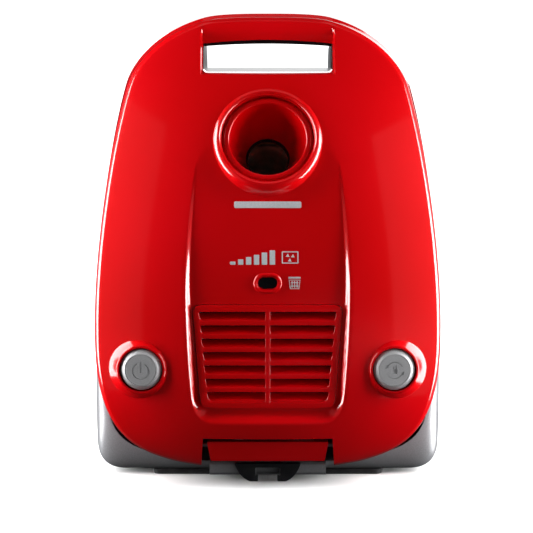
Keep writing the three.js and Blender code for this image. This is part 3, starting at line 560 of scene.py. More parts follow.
# ---------- materials ----------
def new_material(name, color, roughness, metallic=0.0, **sockets):
    """A Principled material; the sockets given by name are constants on the shader."""
    material = bpy.data.materials.new(name)
    material.use_nodes = True
    shader = material.node_tree.nodes["Principled BSDF"]
    shader.inputs["Base Color"].default_value = (*color, 1)
    shader.inputs["Roughness"].default_value = roughness
    shader.inputs["Metallic"].default_value = metallic
    for socket, value in sockets.items():
        shader.inputs[socket.replace("_", " ")].default_value = value
    return material


def node(material, kind, links=(), **values):
    made = material.node_tree.nodes.new(kind)
    for key, value in values.items():
        if hasattr(made, key):
            setattr(made, key, value)
        else:
            made.inputs[key.replace("_", " ")].default_value = value
    for source, socket in links:
        material.node_tree.links.new(source, made.inputs[socket])
    return made


def object_coordinates(material):
    return node(material, "ShaderNodeTexCoord").outputs["Object"]


def wire_bump(material, height, strength, depth):
    """Feeds a height into the shader's normal."""
    shader = material.node_tree.nodes["Principled BSDF"]
    bump = node(material, "ShaderNodeBump", [(height, "Height")], Strength=strength, Distance=depth)
    material.node_tree.links.new(bump.outputs["Normal"], shader.inputs["Normal"])


def mottle(material, scale, dark, light, detail=3.0):
    """Varies the base colour between two tones with a noise of the given scale."""
    shader = material.node_tree.nodes["Principled BSDF"]
    where = object_coordinates(material)
    cloud = node(material, "ShaderNodeTexNoise", [(where, "Vector")], Scale=scale, Detail=detail)
    ramp_node = node(material, "ShaderNodeValToRGB", [(cloud.outputs["Fac"], "Fac")])
    ramp_node.color_ramp.elements[0].position, ramp_node.color_ramp.elements[1].position = 0.35, 0.65
    ramp_node.color_ramp.elements[0].color = (*dark, 1)
    ramp_node.color_ramp.elements[1].color = (*light, 1)
    material.node_tree.links.new(ramp_node.outputs["Color"], shader.inputs["Base Color"])
    return material


def grain(material, scale, strength, depth, low=None, high=None, detail=2.0):
    """Fine bump from noise; with low and high it also varies the roughness."""
    shader = material.node_tree.nodes["Principled BSDF"]
    where = object_coordinates(material)
    fine = node(material, "ShaderNodeTexNoise", [(where, "Vector")], Scale=scale, Detail=detail)
    wire_bump(material, fine.outputs["Fac"], strength, depth)
    if low is not None:
        spread = node(material, "ShaderNodeMapRange", [(fine.outputs["Fac"], "Value")])
        spread.inputs["To Min"].default_value, spread.inputs["To Max"].default_value = low, high
        material.node_tree.links.new(spread.outputs["Result"], shader.inputs["Roughness"])
    return material


def make_gloss_red():
    """Lacquered red plastic: a deep body colour under a clear hard coat with a faint ripple."""
    material = new_material("red_gloss_plastic", (0.62, 0.0, 0.002), 0.3, Specular_IOR_Level=0.12,
                            Coat_Weight=1.0, Coat_Roughness=0.08, Coat_IOR=1.6)
    mottle(material, 9, (0.60, 0.0, 0.001), (0.66, 0.0, 0.003))
    return grain(material, 420, 0.02, 0.0002, 0.27, 0.33)


def make_silver():
    """Silver-grey plastic with metal flake."""
    material = new_material("silver_flake_plastic", (0.25, 0.25, 0.262), 0.4, 0.2,
                            Coat_Weight=0.2, Coat_Roughness=0.25)
    mottle(material, 1400, (0.225, 0.227, 0.237), (0.275, 0.278, 0.292))
    return grain(material, 2600, 0.05, 0.0001, 0.31, 0.42)


def make_black():
    material = new_material("black_moulded_plastic", (0.012, 0.012, 0.014), 0.42, Specular_IOR_Level=0.3)
    mottle(material, 60, (0.010, 0.010, 0.012), (0.018, 0.018, 0.020))
    return grain(material, 3200, 0.12, 0.0002, 0.36, 0.5)


def make_rubber():
    material = new_material("matt_rubber", (0.012, 0.012, 0.013), 0.8)
    mottle(material, 110, (0.009, 0.009, 0.010), (0.020, 0.020, 0.021))
    return grain(material, 1800, 0.25, 0.0002, 0.7, 0.9)


def make_steel():
    """Turned steel: a fine noise grain with a varied roughness."""
    material = new_material("turned_steel", (0.55, 0.56, 0.58), 0.32, 1.0)
    mottle(material, 35, (0.48, 0.49, 0.51), (0.60, 0.61, 0.63))
    return grain(material, 5200, 0.08, 0.0001, 0.24, 0.42)


def make_button_grey():
    """Satin metallic paint on the foot buttons."""
    material = new_material("button_satin_grey", (0.4, 0.4, 0.41), 0.5, 0.1)
    mottle(material, 1500, (0.37, 0.37, 0.38), (0.43, 0.43, 0.44))
    return grain(material, 2600, 0.06, 0.0001, 0.38, 0.5)


def make_pale():
    material = new_material("pale_plastic", (0.62, 0.62, 0.58), 0.5)
    mottle(material, 40, (0.58, 0.58, 0.54), (0.66, 0.66, 0.62))
    return grain(material, 2400, 0.08, 0.0002, 0.44, 0.56)


def make_foam():
    """Open-cell filter foam."""
    material = new_material("filter_foam", (0.02, 0.024, 0.03), 0.95)
    where = object_coordinates(material)
    cells = node(material, "ShaderNodeTexVoronoi", [(where, "Vector")], Scale=900)
    wire_bump(material, cells.outputs["Distance"], 0.9, 0.0006)
    return mottle(material, 500, (0.012, 0.015, 0.02), (0.035, 0.042, 0.052))


def make_fleece():
    """Non-woven bag fleece: matted fibres over a faint embossed dot pattern."""
    material = new_material("bag_fleece", (0.72, 0.68, 0.56), 0.93, Sheen_Weight=0.35)
    where = object_coordinates(material)
    stretch = node(material, "ShaderNodeMapping", [(where, "Vector")])
    stretch.inputs["Scale"].default_value = (900, 900, 170)
    fibres = node(material, "ShaderNodeTexNoise", [(stretch.outputs["Vector"], "Vector")],
                  Scale=1.0, Detail=6.0)
    dots = node(material, "ShaderNodeTexVoronoi", [(where, "Vector")], Scale=520, feature="SMOOTH_F1")
    both = node(material, "ShaderNodeMath", [(fibres.outputs["Fac"], 0), (dots.outputs["Distance"], 1)],
                operation="ADD")
    wire_bump(material, both.outputs["Value"], 0.5, 0.0005)
    return mottle(material, 55, (0.64, 0.60, 0.49), (0.76, 0.72, 0.61), 6.0)


def make_smoke():
    material = new_material("smoked_window", (0.004, 0.004, 0.005), 0.06,
                            Coat_Weight=0.6, Coat_Roughness=0.03)
    return mottle(material, 30, (0.003, 0.003, 0.004), (0.006, 0.006, 0.008))


def make_copper():
    """Enamelled winding wire, laid side by side."""
    material = new_material("winding_copper", (0.45, 0.16, 0.06), 0.35, 0.9)
    where = object_coordinates(material)
    wires = node(material, "ShaderNodeTexWave", [(where, "Vector")], Scale=450, Distortion=0.4)
    wire_bump(material, wires.outputs["Fac"], 0.6, 0.0005)
    return mottle(material, 90, (0.38, 0.13, 0.045), (0.5, 0.19, 0.07))


def make_card():
    material = new_material("collar_card", (0.5, 0.38, 0.22), 0.9)
    mottle(material, 160, (0.44, 0.33, 0.19), (0.55, 0.43, 0.26), 8.0)
    return grain(material, 1500, 0.3, 0.0003, 0.84, 0.95)


def make_print():
    """Silver pad-printing ink."""
    material = new_material("silver_print", (0.66, 0.68, 0.70), 0.38, 0.15)
    mottle(material, 900, (0.62, 0.64, 0.66), (0.70, 0.72, 0.74))
    return grain(material, 3000, 0.06, 0.0001, 0.34, 0.44)


LOOKS = {
    "red_gloss": make_gloss_red(), "silver_plastic": make_silver(), "black_plastic": make_black(),
    "rubber": make_rubber(), "steel": make_steel(), "button_grey": make_button_grey(),
    "pale_plastic": make_pale(), "foam": make_foam(), "bag_fleece": make_fleece(),
    "smoke_window": make_smoke(), "copper": make_copper(),
    "card": make_card(),
}
PRINT = make_print()


def keep(obj, name, body, slot, nodes=(), material=None, crease=32.0):
    return finish_piece(obj, name, body, material or LOOKS[slot], nodes, crease)


def dress_cad_nodes():
    """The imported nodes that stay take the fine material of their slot."""
    slot_of = {part["node"]: part["material_slot"] for part in frame["record"]["subparts"]}
    for name, obj in frame["nodes"].items():
        obj.data.materials.clear()
        obj.data.materials.append(LOOKS[slot_of[name]])


# ---------- lid ----------
def notch_outline(grow):
    """The notch that the release tab sits in, widened by grow."""
    return [(-NOTCH_HALF_LOW - grow, -2 - grow), (NOTCH_HALF_LOW + grow, -2 - grow),
            (NOTCH_HALF_TOP + grow, NOTCH_TOP + grow), (-NOTCH_HALF_TOP - grow, NOTCH_TOP + grow)]


def stadium(grow, steps=16):
    """The indicator's outline, two half circles joined by straight sides, widened by grow."""
    radius = INDICATOR_R + grow
    right = [(INDICATOR_FLAT + radius * math.sin(t), INDICATOR_Z - radius * math.cos(t))
             for t in np.linspace(0, math.pi, steps)]
    left = [(-INDICATOR_FLAT - radius * math.sin(t), INDICATOR_Z + radius * math.cos(t))
            for t in np.linspace(0, math.pi, steps)]
    return right + left


def grille_outline(grow, steps=8):
    corners = [(-40, 65.7), (40, 65.7), (50.6, 67), (52, 75.5), (57.3, 145.3), (-57.3, 145.3),
               (-52, 75.5), (-50.6, 67)]
    loop = np.array(rounded(corners, 7, steps))
    return inset(loop, -grow) if grow else loop


def handle_opening(grow=0.0):
    """The see-through slot of the handle: rounded sill corners and an arched upper edge."""
    half, sill = HANDLE_HALF + grow, HANDLE_SILL - grow
    arch = [(x, ARCH_END + ARCH_RISE * (1 - (x / half) ** 2) + grow) for x in np.linspace(half, -half, 25)]
    corner = ARCH_CORNER
    left = [(-half + corner * (1 - math.cos(t)), sill + corner * (1 - math.sin(t)))
            for t in np.linspace(0, math.pi / 2, 7)]
    right = [(-x, z) for x, z in left[::-1]]
    return arch + left + right


def lid_knuckle(side, outer):
    near, far = (KNUCKLE_NEAR, KNUCKLE_FAR) if side > 0 else (-KNUCKLE_FAR, -KNUCKLE_NEAR)
    upper = common(box(near, far, -38, -29, KNUCKLE_LOW, 359), copy_of(outer))
    arm = box(near, far, -30, HINGE_Y, KNUCKLE_LOW, 356.8, 0.4)
    return add(upper, arm, rod(3, near, far, AT_HINGE, 40, 0.3))


def port_collar():
    """The raised ring round the hose port, with a soft flare down on to the lid."""
    profile = [(0, -20), (47, -20), (51, -15.5), (48.2, -14.4), (45.6, -12.6), (43.6, -9.6),
               (42.4, -6.4), (41.8, -3.8), (40.9, -1.8), (39.5, -0.5), (38.2, 0), (37.1, -0.3),
               (36.2, -1.2), (35.5, -2.6), (0, -2.6)]
    return lathe(profile, AT_PORT, 120)


def make_lid():
    outer = lid_body(0, 0, 2.6, 440)
    block_reach = HANDLE_HALF + HANDLE_WALL
    block = common(box(-block_reach, block_reach, -150, 0, HANDLE_BLOCK, LENGTH + 1), copy_of(outer))
    pocket = front_prism(notch_outline(NOTCH_WALL), -150, 0)
    pocket = common(cut(pocket, front_prism(notch_outline(0), -151, 1)), copy_of(outer))
    cone = [(0, -12), (26.1, -12), (18.95, -1.1), (18.7, -0.5), (18.3, -0.15), (17.8, 0), (0, 0)]
    collars = [add(lathe(cone, at_button(side), 96), rod(19.5, -24, -10, at_button(side), 64))
               for side in (-1, 1)]
    knuckles = [lid_knuckle(side, outer) for side in (-1, 1)]
    lid = cut(outer, lid_body(LID_SKIN, 6, 5, 440))
    lid = add(lid, block, pocket, *collars, port_collar(), *knuckles)
    cutters = [front_prism(handle_opening(), -150, 20), front_prism(notch_outline(0), -150, 1),
               front_prism(grille_outline(0.4), -150, -97), front_prism(stadium(-0.7), -150, -90),
               rod(PORT_BORE, -40, 20, AT_PORT, 120)]
    for side in (-1, 1):
        cutters += [rod(16.75, -21.5, 2, at_button(side), 96),
                    rod(STEM_R + 0.4, -40, 0, at_button(side), 24)]
        ends = (48, 54.5) if side > 0 else (-54.5, -48)
        cutters.append(rod(1.9, *ends, across(TAB_PIN_Y, TAB_PIN_Z), 24))
    cutters.append(rod(1.7, -70, 70, AT_HINGE, 24))
    return keep(cut(lid, *cutters), "lid_shell_fine", "lid", "red_gloss", ["lid_shell"], crease=30)


def make_port():
    mouth, throat, depth, bore = PORT_MOUTH, PORT_THROAT, PORT_DEPTH, PORT_BORE
    profile = [(mouth - 1.4, -4.0), (mouth - 0.4, -3.6), (bore - 2.2, -3.6), (bore - 1.5, -5.4),
               (bore - 0.3, -5.6), (bore - 0.3, -15), (mouth + 1, -18), (throat + 3, -depth),
               (throat, -depth), (throat, -depth + 2), (mouth - 2.6, -8.5)]
    funnel = lathe(profile, AT_PORT, 120, 0.5)
    key = common(front_prism(rectangle(-1.2, 1.2, 236, 243, 0.6), -100, -60),
                 rod(bore - 0.2, -8, 0, AT_PORT, 96))
    keep(cut(funnel, key), "hose_port_fine", "lid", "red_gloss", ["hose_port"])
    seal = lathe([(22, -depth - 4.5), (22, -depth - 0.3), (throat, -depth - 0.3),
                  (throat - 1.6, -depth - 2.4), (throat, -depth - 4.5)], AT_PORT, 72, 0.4)
    keep(seal, "port_seal_fine", "lid", "rubber", ["port_seal"])


def slot_outline(row, side):
    """One slot of the grille, with its outer lower corner well rounded."""
    z = GRILLE_FIRST - row * GRILLE_PITCH
    reach = 52.2 - row * 0.95
    last = row == GRILLE_ROWS - 1
    low, high = z - GRILLE_SLOT / 2 - (0.8 if last else 0), z + GRILLE_SLOT / 2 + 0.2
    slope = 0.6
    corner = 5.0 if last else 2.6
    outer = [(reach - slope, low), (reach, high)]
    points = [(1.9, low), (reach - slope - corner, low)]
    points += [tuple(np.array(outer[0]) + [-corner * (1 - math.sin(t)), corner * (1 - math.cos(t)) * 0.9])
               for t in np.linspace(0.15, math.pi / 2, 6)]
    points += [(reach, high - 0.7), (reach - 0.5, high - 0.1), (reach - 1.1, high), (1.9, high)]
    return [(side * x, z) for x, z in points][::side]


def make_grille():
    holes = [slot_outline(row, side) for row in range(GRILLE_ROWS) for side in (-1, 1)]
    plate = plate_with_holes(grille_outline(0), holes, GRILLE_Y, GRILLE_Y + 3.2, 0.45)
    louvres = []
    for row in range(GRILLE_ROWS):
        low = GRILLE_FIRST - row * GRILLE_PITCH - GRILLE_SLOT / 2 - 0.5
        reach = 52.6 - row * 0.95
        blade = [(GRILLE_Y + 1.2, low - 0.4), (GRILLE_Y + 1.2, low + 0.9), (GRILLE_Y + 7.6, low + 5.6),
                 (GRILLE_Y + 7.6, low + 4.2)]
        louvres.append(side_prism(rounded(blade, 0.4, 2), -reach, reach))
    keep(join(plate, *louvres), "exhaust_grille_fine", "lid", "red_gloss", ["exhaust_grille"])
    pleats = []
    for k in range(27):
        x = -49.4 + 3.8 * k
        pleats += [(x, -103.4), (x + 1.9, -100.6)]
    pleated = [(-50, -99.4), *[(x, y) for x, y in pleats if abs(x) < 50], (50, -99.4)]
    shade = common(prism(pleated, 70, 141, Matrix.Identity(4)),
                   front_prism(rounded([(-42, 70), (42, 70), (50, 141), (-50, 141)], 5), -120, -90))
    keep(shade, "exhaust_filter_fine", "lid", "foam", ["exhaust_filter"], crease=60)


def make_indicator():
    levels = [(-0.9, -99), (-0.9, -110.0), (0.1, -110.3), (0.0, -110.9), (-0.6, -111.6), (-1.5, -111.9),
              (-2.5, -111.6), (-3.2, -110.7), (-3.5, -109.6), (-3.5, -101)]
    rings = [at_depth(np.array(stadium(grow, 24)), y) for grow, y in levels]
    count = len(rings[0])
    faces = []
    for r in range(len(rings)):
        faces += band(r * count, (r + 1) % len(rings) * count, count)
    keep(solid(np.concatenate(rings), faces), "indicator_bezel_fine", "lid", "red_gloss", ["indicator_bezel"])
    window = front_prism(stadium(-3.6, 24), INDICATOR_Y + 0.6, INDICATOR_Y + 2.4, 0.3)
    keep(window, "indicator_window_fine", "lid", "smoke_window", ["indicator_window"])
    flag = box(-6.5, -1.5, INDICATOR_Y + 3, INDICATOR_Y + 5, INDICATOR_Z - 3, INDICATOR_Z + 3, 0.4)
    keep(flag, "indicator_flag_fine", "flag", "pale_plastic", ["indicator_flag"])


def arc_band(radius, width, start, end, lift=0.0, steps=32):
    """A bent stroke with square ends, as a closed outline."""
    angles = np.radians(np.linspace(start, end, steps))
    near, far = radius - width / 2, radius + width / 2
    out = [(far * math.cos(a), lift + far * math.sin(a)) for a in angles]
    back = [(near * math.cos(a), lift + near * math.sin(a)) for a in angles[::-1]]
    return out + back


def power_marks():
    return [arc_band(6.1, 0.9, 118, 422, -0.6), rectangle(-0.45, 0.45, -2.0, 6.2, 0.2, 2)]


def rewind_marks():
    """Two curved arrows round a short plug."""
    marks = [arc_band(6.2, 0.85, start, start + 128) for start in (26, 206)]
    for turn in (0, math.pi):
        c, s = math.cos(turn), math.sin(turn)
        head = [(-7.4, 1.4), (-4.4, 1.9), (-6.3, 4.6)]
        marks.append([(c * x - s * z, s * x + c * z) for x, z in head])
    return marks + [rectangle(-1.9, 1.9, -2.7, 1.2, 0.6, 3), rectangle(-1.4, -0.6, 1.4, 3.4, 0.2, 2),
                    rectangle(0.6, 1.4, 1.4, 3.4, 0.2, 2)]


def make_button(side, name, body, marks):
    """A round foot button: a flat engraved disc inside a groove, a bevel, a skirt and the stem."""
    place = at_button(side)
    radius, flat = BUTTON_R, BUTTON_R - 4.1
    stem, skirt, tip = STEM_R, -8, STEM_TIP
    profile = [(0, 1.0), (flat - 0.3, 1.0), (flat - 0.1, 0.75), (flat + 0.1, 0.75), (flat + 0.3, 1.05),
               (flat + 0.6, 1.05), (radius - 0.9, -0.9), (radius - 0.25, -1.6), (radius, -2.4),
               (radius, skirt), (stem, skirt), (stem, tip), (0, tip)]
    cap = lathe(profile, place, 120)
    engraved = [prism(mark, 0.35, 3.0, place) for mark in marks]
    keep(cut(cap, *engraved), f"{name}_fine", body, "button_grey", [name], crease=24)
    turns, per_turn, wire, coil_radius, seat, rise = 5.5, 20, 0.55, 6.3, -16.4, 7.4
    points = []
    for k in range(int(turns * per_turn) + 1):
        angle = 2 * math.pi * k / per_turn
        points.append((coil_radius * math.cos(angle), coil_radius * math.sin(angle),
                       seat + rise * k / (turns * per_turn)))
    coil = placed(tube(points, wire, 8), place)
    keep(coil, f"{name}_spring_fine", body, "steel", [f"{name}_spring"])


def tube(path, radius, sides):
    """A round wire along a path."""
    path = [Vector(p) for p in path]
    rings = []
    for i, here in enumerate(path):
        along = (path[min(i + 1, len(path) - 1)] - path[max(i - 1, 0)]).normalized()
        aside = along.orthogonal() if i == 0 else (aside - along * aside.dot(along))
        aside.normalize()
        other = along.cross(aside)
        rings.append(np.array([here + radius * (math.cos(t) * aside + math.sin(t) * other)
                               for t in np.linspace(0, 2 * math.pi, sides, endpoint=False)]))
    return loft(rings)


def make_latch():
    outline = [(-TAB_HALF_BOTTOM, TAB_BOTTOM), (TAB_HALF_BOTTOM, TAB_BOTTOM), (TAB_HALF_TOP, TAB_TOP),
               (-TAB_HALF_TOP, TAB_TOP)]
    trim = front_prism(rounded(outline, 1.0, 3), -103.6, -94.2, 0.9)
    top, bottom = TAB_TOP + 0.2, TAB_BOTTOM - 0.2
    wedge = rounded([(-103.3, top), (-98.6, bottom), (-94.2, bottom), (-94.2, 32), (-96, top)], 0.7, 3)
    tab = common(trim, side_prism(wedge, -60, 60))
    hook = add(box(-12, 12, -97, -52, 23, 26, 0.4), box(-12, 12, -54, -52, 25, 27.4, 0.4))
    tab = cut(add(tab, hook), rod(1.9, -60, 60, across(TAB_PIN_Y, TAB_PIN_Z), 24))
    keep(tab, "latch_tab_fine", "latch", "red_gloss", ["latch_tab"])


def floor_y(point):
    return float(front(np.array([point]))[0])


def print_patch(outline):
    """A printed mark: a thin plate of the outline lying on the recess floor."""
    middle = np.mean(np.array(outline), axis=0)
    y = floor_y(middle)
    slope = (floor_y(middle + [0, 2]) - floor_y(middle - [0, 2])) / 4
    place = axes((1, 0, 0), Vector((0, slope, 1)).normalized(), Vector((0, -1, slope)).normalized(),
                 (middle[0], y, middle[1]))
    return prism([np.array(p) - middle for p in outline], -0.3, 0.22, place, 0.08)


def make_prints():
    """A blank nameplate bar, rising power bars with a fan symbol, and a bag pictogram."""
    outlines = [rectangle(-25.5, 25.5, 218.6, 223.6, 1.2)]
    for k in range(6):
        left = -28.5 + 6.0 * k
        outlines.append(rectangle(left, left + 4.0, 176.0, 178.4 + 1.7 * k, 0.5, 3))
    x, z = 17.0, 181.5
    outlines += plate_ring(rectangle(x - 6.3, x + 6.3, z - 4.6, z + 4.6, 0.8), 0.75)
    for turn in range(3):
        a = math.radians(120 * turn + 20)
        blade = ((0.6, a), (3.4, a - 0.35), (3.4, a + 0.5))
        outlines.append([(x + reach * math.cos(t), z + reach * math.sin(t)) for reach, t in blade])
    x, z = 20.4, INDICATOR_Z + 0.2
    bag = [(x - 3.4, z - 4.6), (x + 3.4, z - 4.6), (x + 4.3, z + 2.4), (x - 4.3, z + 2.4)]
    outlines += plate_ring(bag, 0.6)
    outlines.append(rectangle(x - 4.6, x + 4.6, z + 3.3, z + 4.6, 0.4, 3))
    for k in (-1, 0, 1):
        outlines.append(rectangle(x - 0.35 + 1.9 * k, x + 0.35 + 1.9 * k, z - 3.6, z + 1.4, 0.2, 2))
    for k in (-1, 1):
        outlines.append(rectangle(x - 2.9, x + 2.9, z - 1.3 + 1.3 * k, z - 0.8 + 1.3 * k, 0.2, 2))
    marks = [print_patch(outline) for outline in outlines]
    keep(join(*marks), "lid_prints", "lid", "silver_plastic", material=PRINT, crease=40)


def plate_ring(outline, width):
    """The straight strips that frame an outline; sides shorter than 0.05 mm get none."""
    outline = np.array(outline, float)
    inner = inset(outline, width)
    after, inner_after = np.roll(outline, -1, axis=0), np.roll(inner, -1, axis=0)
    return [list(strip) for strip in zip(outline, after, inner_after, inner)
            if np.linalg.norm(strip[0] - strip[1]) > 0.05]


# ---------- base ----------
def tub_rings(skin, count, flare_steps, side_steps, back_steps):
    """Outlines of the tub from the lid's rim back to its flat underside, moved in by skin."""
    egg = inset(lid_loop(count), 0.2)
    egg[:, 1] = np.minimum(egg[:, 1], BASE_TOP)
    rim = base_loop(BASE_TOP - 1, count)
    rings = []
    first = -10.0 if skin else 0.4
    rings.append(at_depth(inset(egg, skin), lambda loop: rim_y(loop[:, 1]) + first))
    flare = 18.0
    for d in np.linspace(0.4, flare, flare_steps)[1:]:
        mixed = egg + (rim - egg) * (1 - (1 - d / flare) ** 2.2)
        rings.append(at_depth(inset(mixed, skin), lambda loop, d=d: rim_y(loop[:, 1]) + d))
    upright_y, turn_y = 20.0, 60.0
    for share in np.linspace(0, 1, side_steps + 1)[1:]:
        loop = inset(base_loop(355 - 5 * share, count), skin)
        y = (rim_y(loop[:, 1]) + flare) * (1 - share) + upright_y * share
        rings.append(np.column_stack([loop[:, 0], y, loop[:, 1]]))
    for share in np.linspace(0, 1, side_steps + 1)[1:]:
        y = upright_y + (turn_y - upright_y) * share
        rings.append(at_depth(inset(base_loop(350 - 10 * share, count), skin), y))
    back = BASE_BACK - skin
    for t in np.linspace(0, math.pi / 2, back_steps + 1)[1:]:
        loop = base_loop(340 - 14 * (1 - math.cos(t)), count)
        y = turn_y + (back - turn_y) * math.sin(t)
        rings.append(at_depth(inset(loop, skin + 13 * (1 - math.cos(t))), y))
    return rings


def rim_plate(distance_in, back, front_offset, count=240):
    """A flat plate parallel to the parting plane, inside the lid's outline."""
    loop = inset(lid_loop(count), distance_in)
    return loft([at_depth(loop, lambda l: rim_y(l[:, 1]) + back),
                 at_depth(loop, lambda l: rim_y(l[:, 1]) + front_offset)])


def wheel_well(side, radius, from_x, soft=0.0):
    ends = (from_x, 150) if side > 0 else (-150, -from_x)
    return rod(radius, *ends, across(WHEEL_Y, WHEEL_Z), 96, soft)


def underside_reliefs():
    """Shallow grooves, vents and a blank plate recess sunk into the flat underside."""
    reliefs = []
    back = BASE_BACK
    groove = [rectangle(-97, 97, 16, 318, 12), rectangle(-95.4, 95.4, 17.6, 316.4, 10.5)]
    frame_groove = prism(groove[0], back - 0.8, back + 5, FACING_BACK)
    reliefs.append(cut(frame_groove, prism(groove[1], back - 2, back + 6, FACING_BACK)))
    for column in (-1, 1):
        for k in range(8):
            z = 180 + 9.0 * k
            slot = rectangle(column * 47 - 22, column * 47 + 22, z - 1.6, z + 1.6, 1.5, 4)
            reliefs.append(prism(slot, back - 5, back + 5, FACING_BACK))
    reliefs.append(prism(rectangle(-30, 30, 108, 142, 3), back - 0.7, back + 5, FACING_BACK))
    return reliefs


def make_tub():
    reach = HANDLE_HALF + HANDLE_WALL
    outer = loft(tub_rings(0, 360, 14, 5, 10))
    keep_solid = add(box(-reach, reach, -80, 90, HANDLE_BLOCK, 370),
                     *[wheel_well(side, WELL_R + 3, WELL_IN - 3) for side in (-1, 1)])
    cavity = cut(loft(tub_rings(BASE_SKIN, 240, 8, 3, 6)), keep_solid)
    seat = cut(rim_plate(2.5, 6, 3), rim_plate(11, 9, 0))
    ring = common(seat, copy_of(outer), box(-150, 150, -80, 20, 151, 313))
    cross_seat = common(rim_plate(3.5, 6, 3), box(-150, 150, -80, 20, 309, 317))
    shelf = box(-136, -98.4, -34, -24, 90, 96, 0.5)
    pedestals = [box(-78, -74, -8, 38, 5, 41.6), box(-26, -22, -8, 38, 5, 41.6)]
    tub = add(cut(outer, cavity), ring, cross_seat, shelf, *pedestals)
    openings = [side_prism(rounded([(-80, HANDLE_SILL), (100, HANDLE_SILL), (100, 370), (-80, 370)], 0.1, 1),
                           -HANDLE_HALF, HANDLE_HALF),
                box(-46.2, 46.2, -80, -40, 0, 14.6), box(-91.5, 91.5, -47, 52, 0, 4.1)]
    lugs = []
    for side in (-1, 1):
        near, far = sorted((side * HANDLE_HALF, side * reach))
        lugs.append(rod(3.1, near, far, AT_HINGE, 40))
        pocket = sorted((side * reach, side * 60.6))
        openings += [rod(5.4, *pocket, AT_HINGE, 40), wheel_well(side, WELL_R, WELL_IN)]
        openings.append(rod(5.4, *sorted((side * 100, side * 112)), across(WHEEL_Y, WHEEL_Z), 32))
    tub = add(cut(tub, *openings), *lugs)
    holes = [rod(1.7, -59, 59, AT_HINGE, 24), rod(5.4, 70, 90, backward(0, CASTER_Z), 32),
             rod(6.9, 0, 12, upward(GLAND_X, GLAND_Y), 32)]
    for x, z in SCREWS:
        holes += [rod(2.2, 78, 90, backward(x, z), 16)]
    tub = cut(tub, *holes, *underside_reliefs())
    return keep(tub, "tub_shell_fine", "base", "silver_plastic", ["tub_shell"], crease=34)


def make_handle():
    """The soft grip behind the red bar, arched underneath, with finger ridges at the back."""
    half = GRIP_HALF
    low = [(x, GRIP_LOW + GRIP_LOW_RISE * (1 - (x / half) ** 2)) for x in np.linspace(-half, half, 41)]
    high = [(x, GRIP_HIGH + GRIP_HIGH_RISE * (1 - (x / half) ** 2)) for x in np.linspace(half, -half, 41)]
    arch = front_prism(low + high, -29.4, -8)
    section = rounded([(-29.4, 335), (-14, 335), (-9, 341), (-8, 349), (-13, 355), (-22, 360), (-29.4, 360)],
                      4, 6)
    grip = common(arch, side_prism(section, -half, half))
    grooves = []
    for k in range(9):
        x = -36 + 9.0 * k
        grooves.append(rod(1.3, 330, 365, upward(x, -7.4), 20))
    grip = cut(grip, *grooves)
    keep(grip, "handle_grip_fine", "base", "rubber", ["handle_grip"], material=LOOKS["black_plastic"])


def make_wheel(side, word):
    """Hub with ribs behind its cap, a grooved tyre, and a dished cap with a ring and a boss."""
    at = across(WHEEL_Y, WHEEL_Z)
    body = f"{word}_wheel"

    def mirrored(profile):
        return [(r, side * x) for r, x in profile]

    bore, felloe = 5.3, WHEEL_R - 7.3
    hub = lathe(mirrored([(bore, WHEEL_IN + 2), (felloe, WHEEL_IN + 2), (felloe, WHEEL_OUT - 2),
                          (WHEEL_R - 12, WHEEL_OUT - 2), (WHEEL_R - 12, WHEEL_IN + 8), (12, WHEEL_IN + 8),
                          (12, WHEEL_OUT - 8), (bore, WHEEL_OUT - 8)]), at, 96, 0.7)
    keep(hub, f"wheel_{word}_fine", body, "silver_plastic", [f"wheel_{word}"])
    tread = [(WHEEL_R - 7, WHEEL_IN), (WHEEL_R - 2.4, WHEEL_IN), (WHEEL_R, WHEEL_IN + 3)]
    for k in range(3):
        x = WHEEL_IN + 6.5 + 4.5 * k
        tread += [(WHEEL_R, x - 0.9), (WHEEL_R - 1.1, x - 0.6), (WHEEL_R - 1.1, x + 0.6), (WHEEL_R, x + 0.9)]
    tread += [(WHEEL_R, WHEEL_OUT - 3), (WHEEL_R - 2.4, WHEEL_OUT), (WHEEL_R - 7, WHEEL_OUT)]
    tyre = lathe(mirrored(tread), at, 144, 0.35)
    keep(tyre, f"tyre_{word}_fine", body, "rubber", [f"tyre_{word}"])
    dish = [(0, -7.7), (WHEEL_R - 14, -7.7), (WHEEL_R - 13, -4), (WHEEL_R - 15, -1.8), (WHEEL_R - 17, -2.4),
            (WHEEL_R - 18, -0.9), (26, 0.9), (24.8, 0.1), (14, 0.3), (12.4, 1.7), (0, 2)]
    cap = lathe(mirrored([(radius, WHEEL_OUT + x) for radius, x in dish]), at, 96, 0.5)
    dimples = []
    for k in range(10):
        turn = 2 * math.pi * k / 10
        y, z = WHEEL_Y + 19.4 * math.cos(turn), WHEEL_Z + 19.4 * math.sin(turn)
        ends = sorted((side * (WHEEL_OUT - 1.0), side * (WHEEL_OUT + 5)))
        dimples.append(rod(2.4, *ends, across(y, z), 24))
    keep(cut(cap, *dimples), f"hubcap_{word}_fine", body, "silver_plastic", [f"hubcap_{word}"])


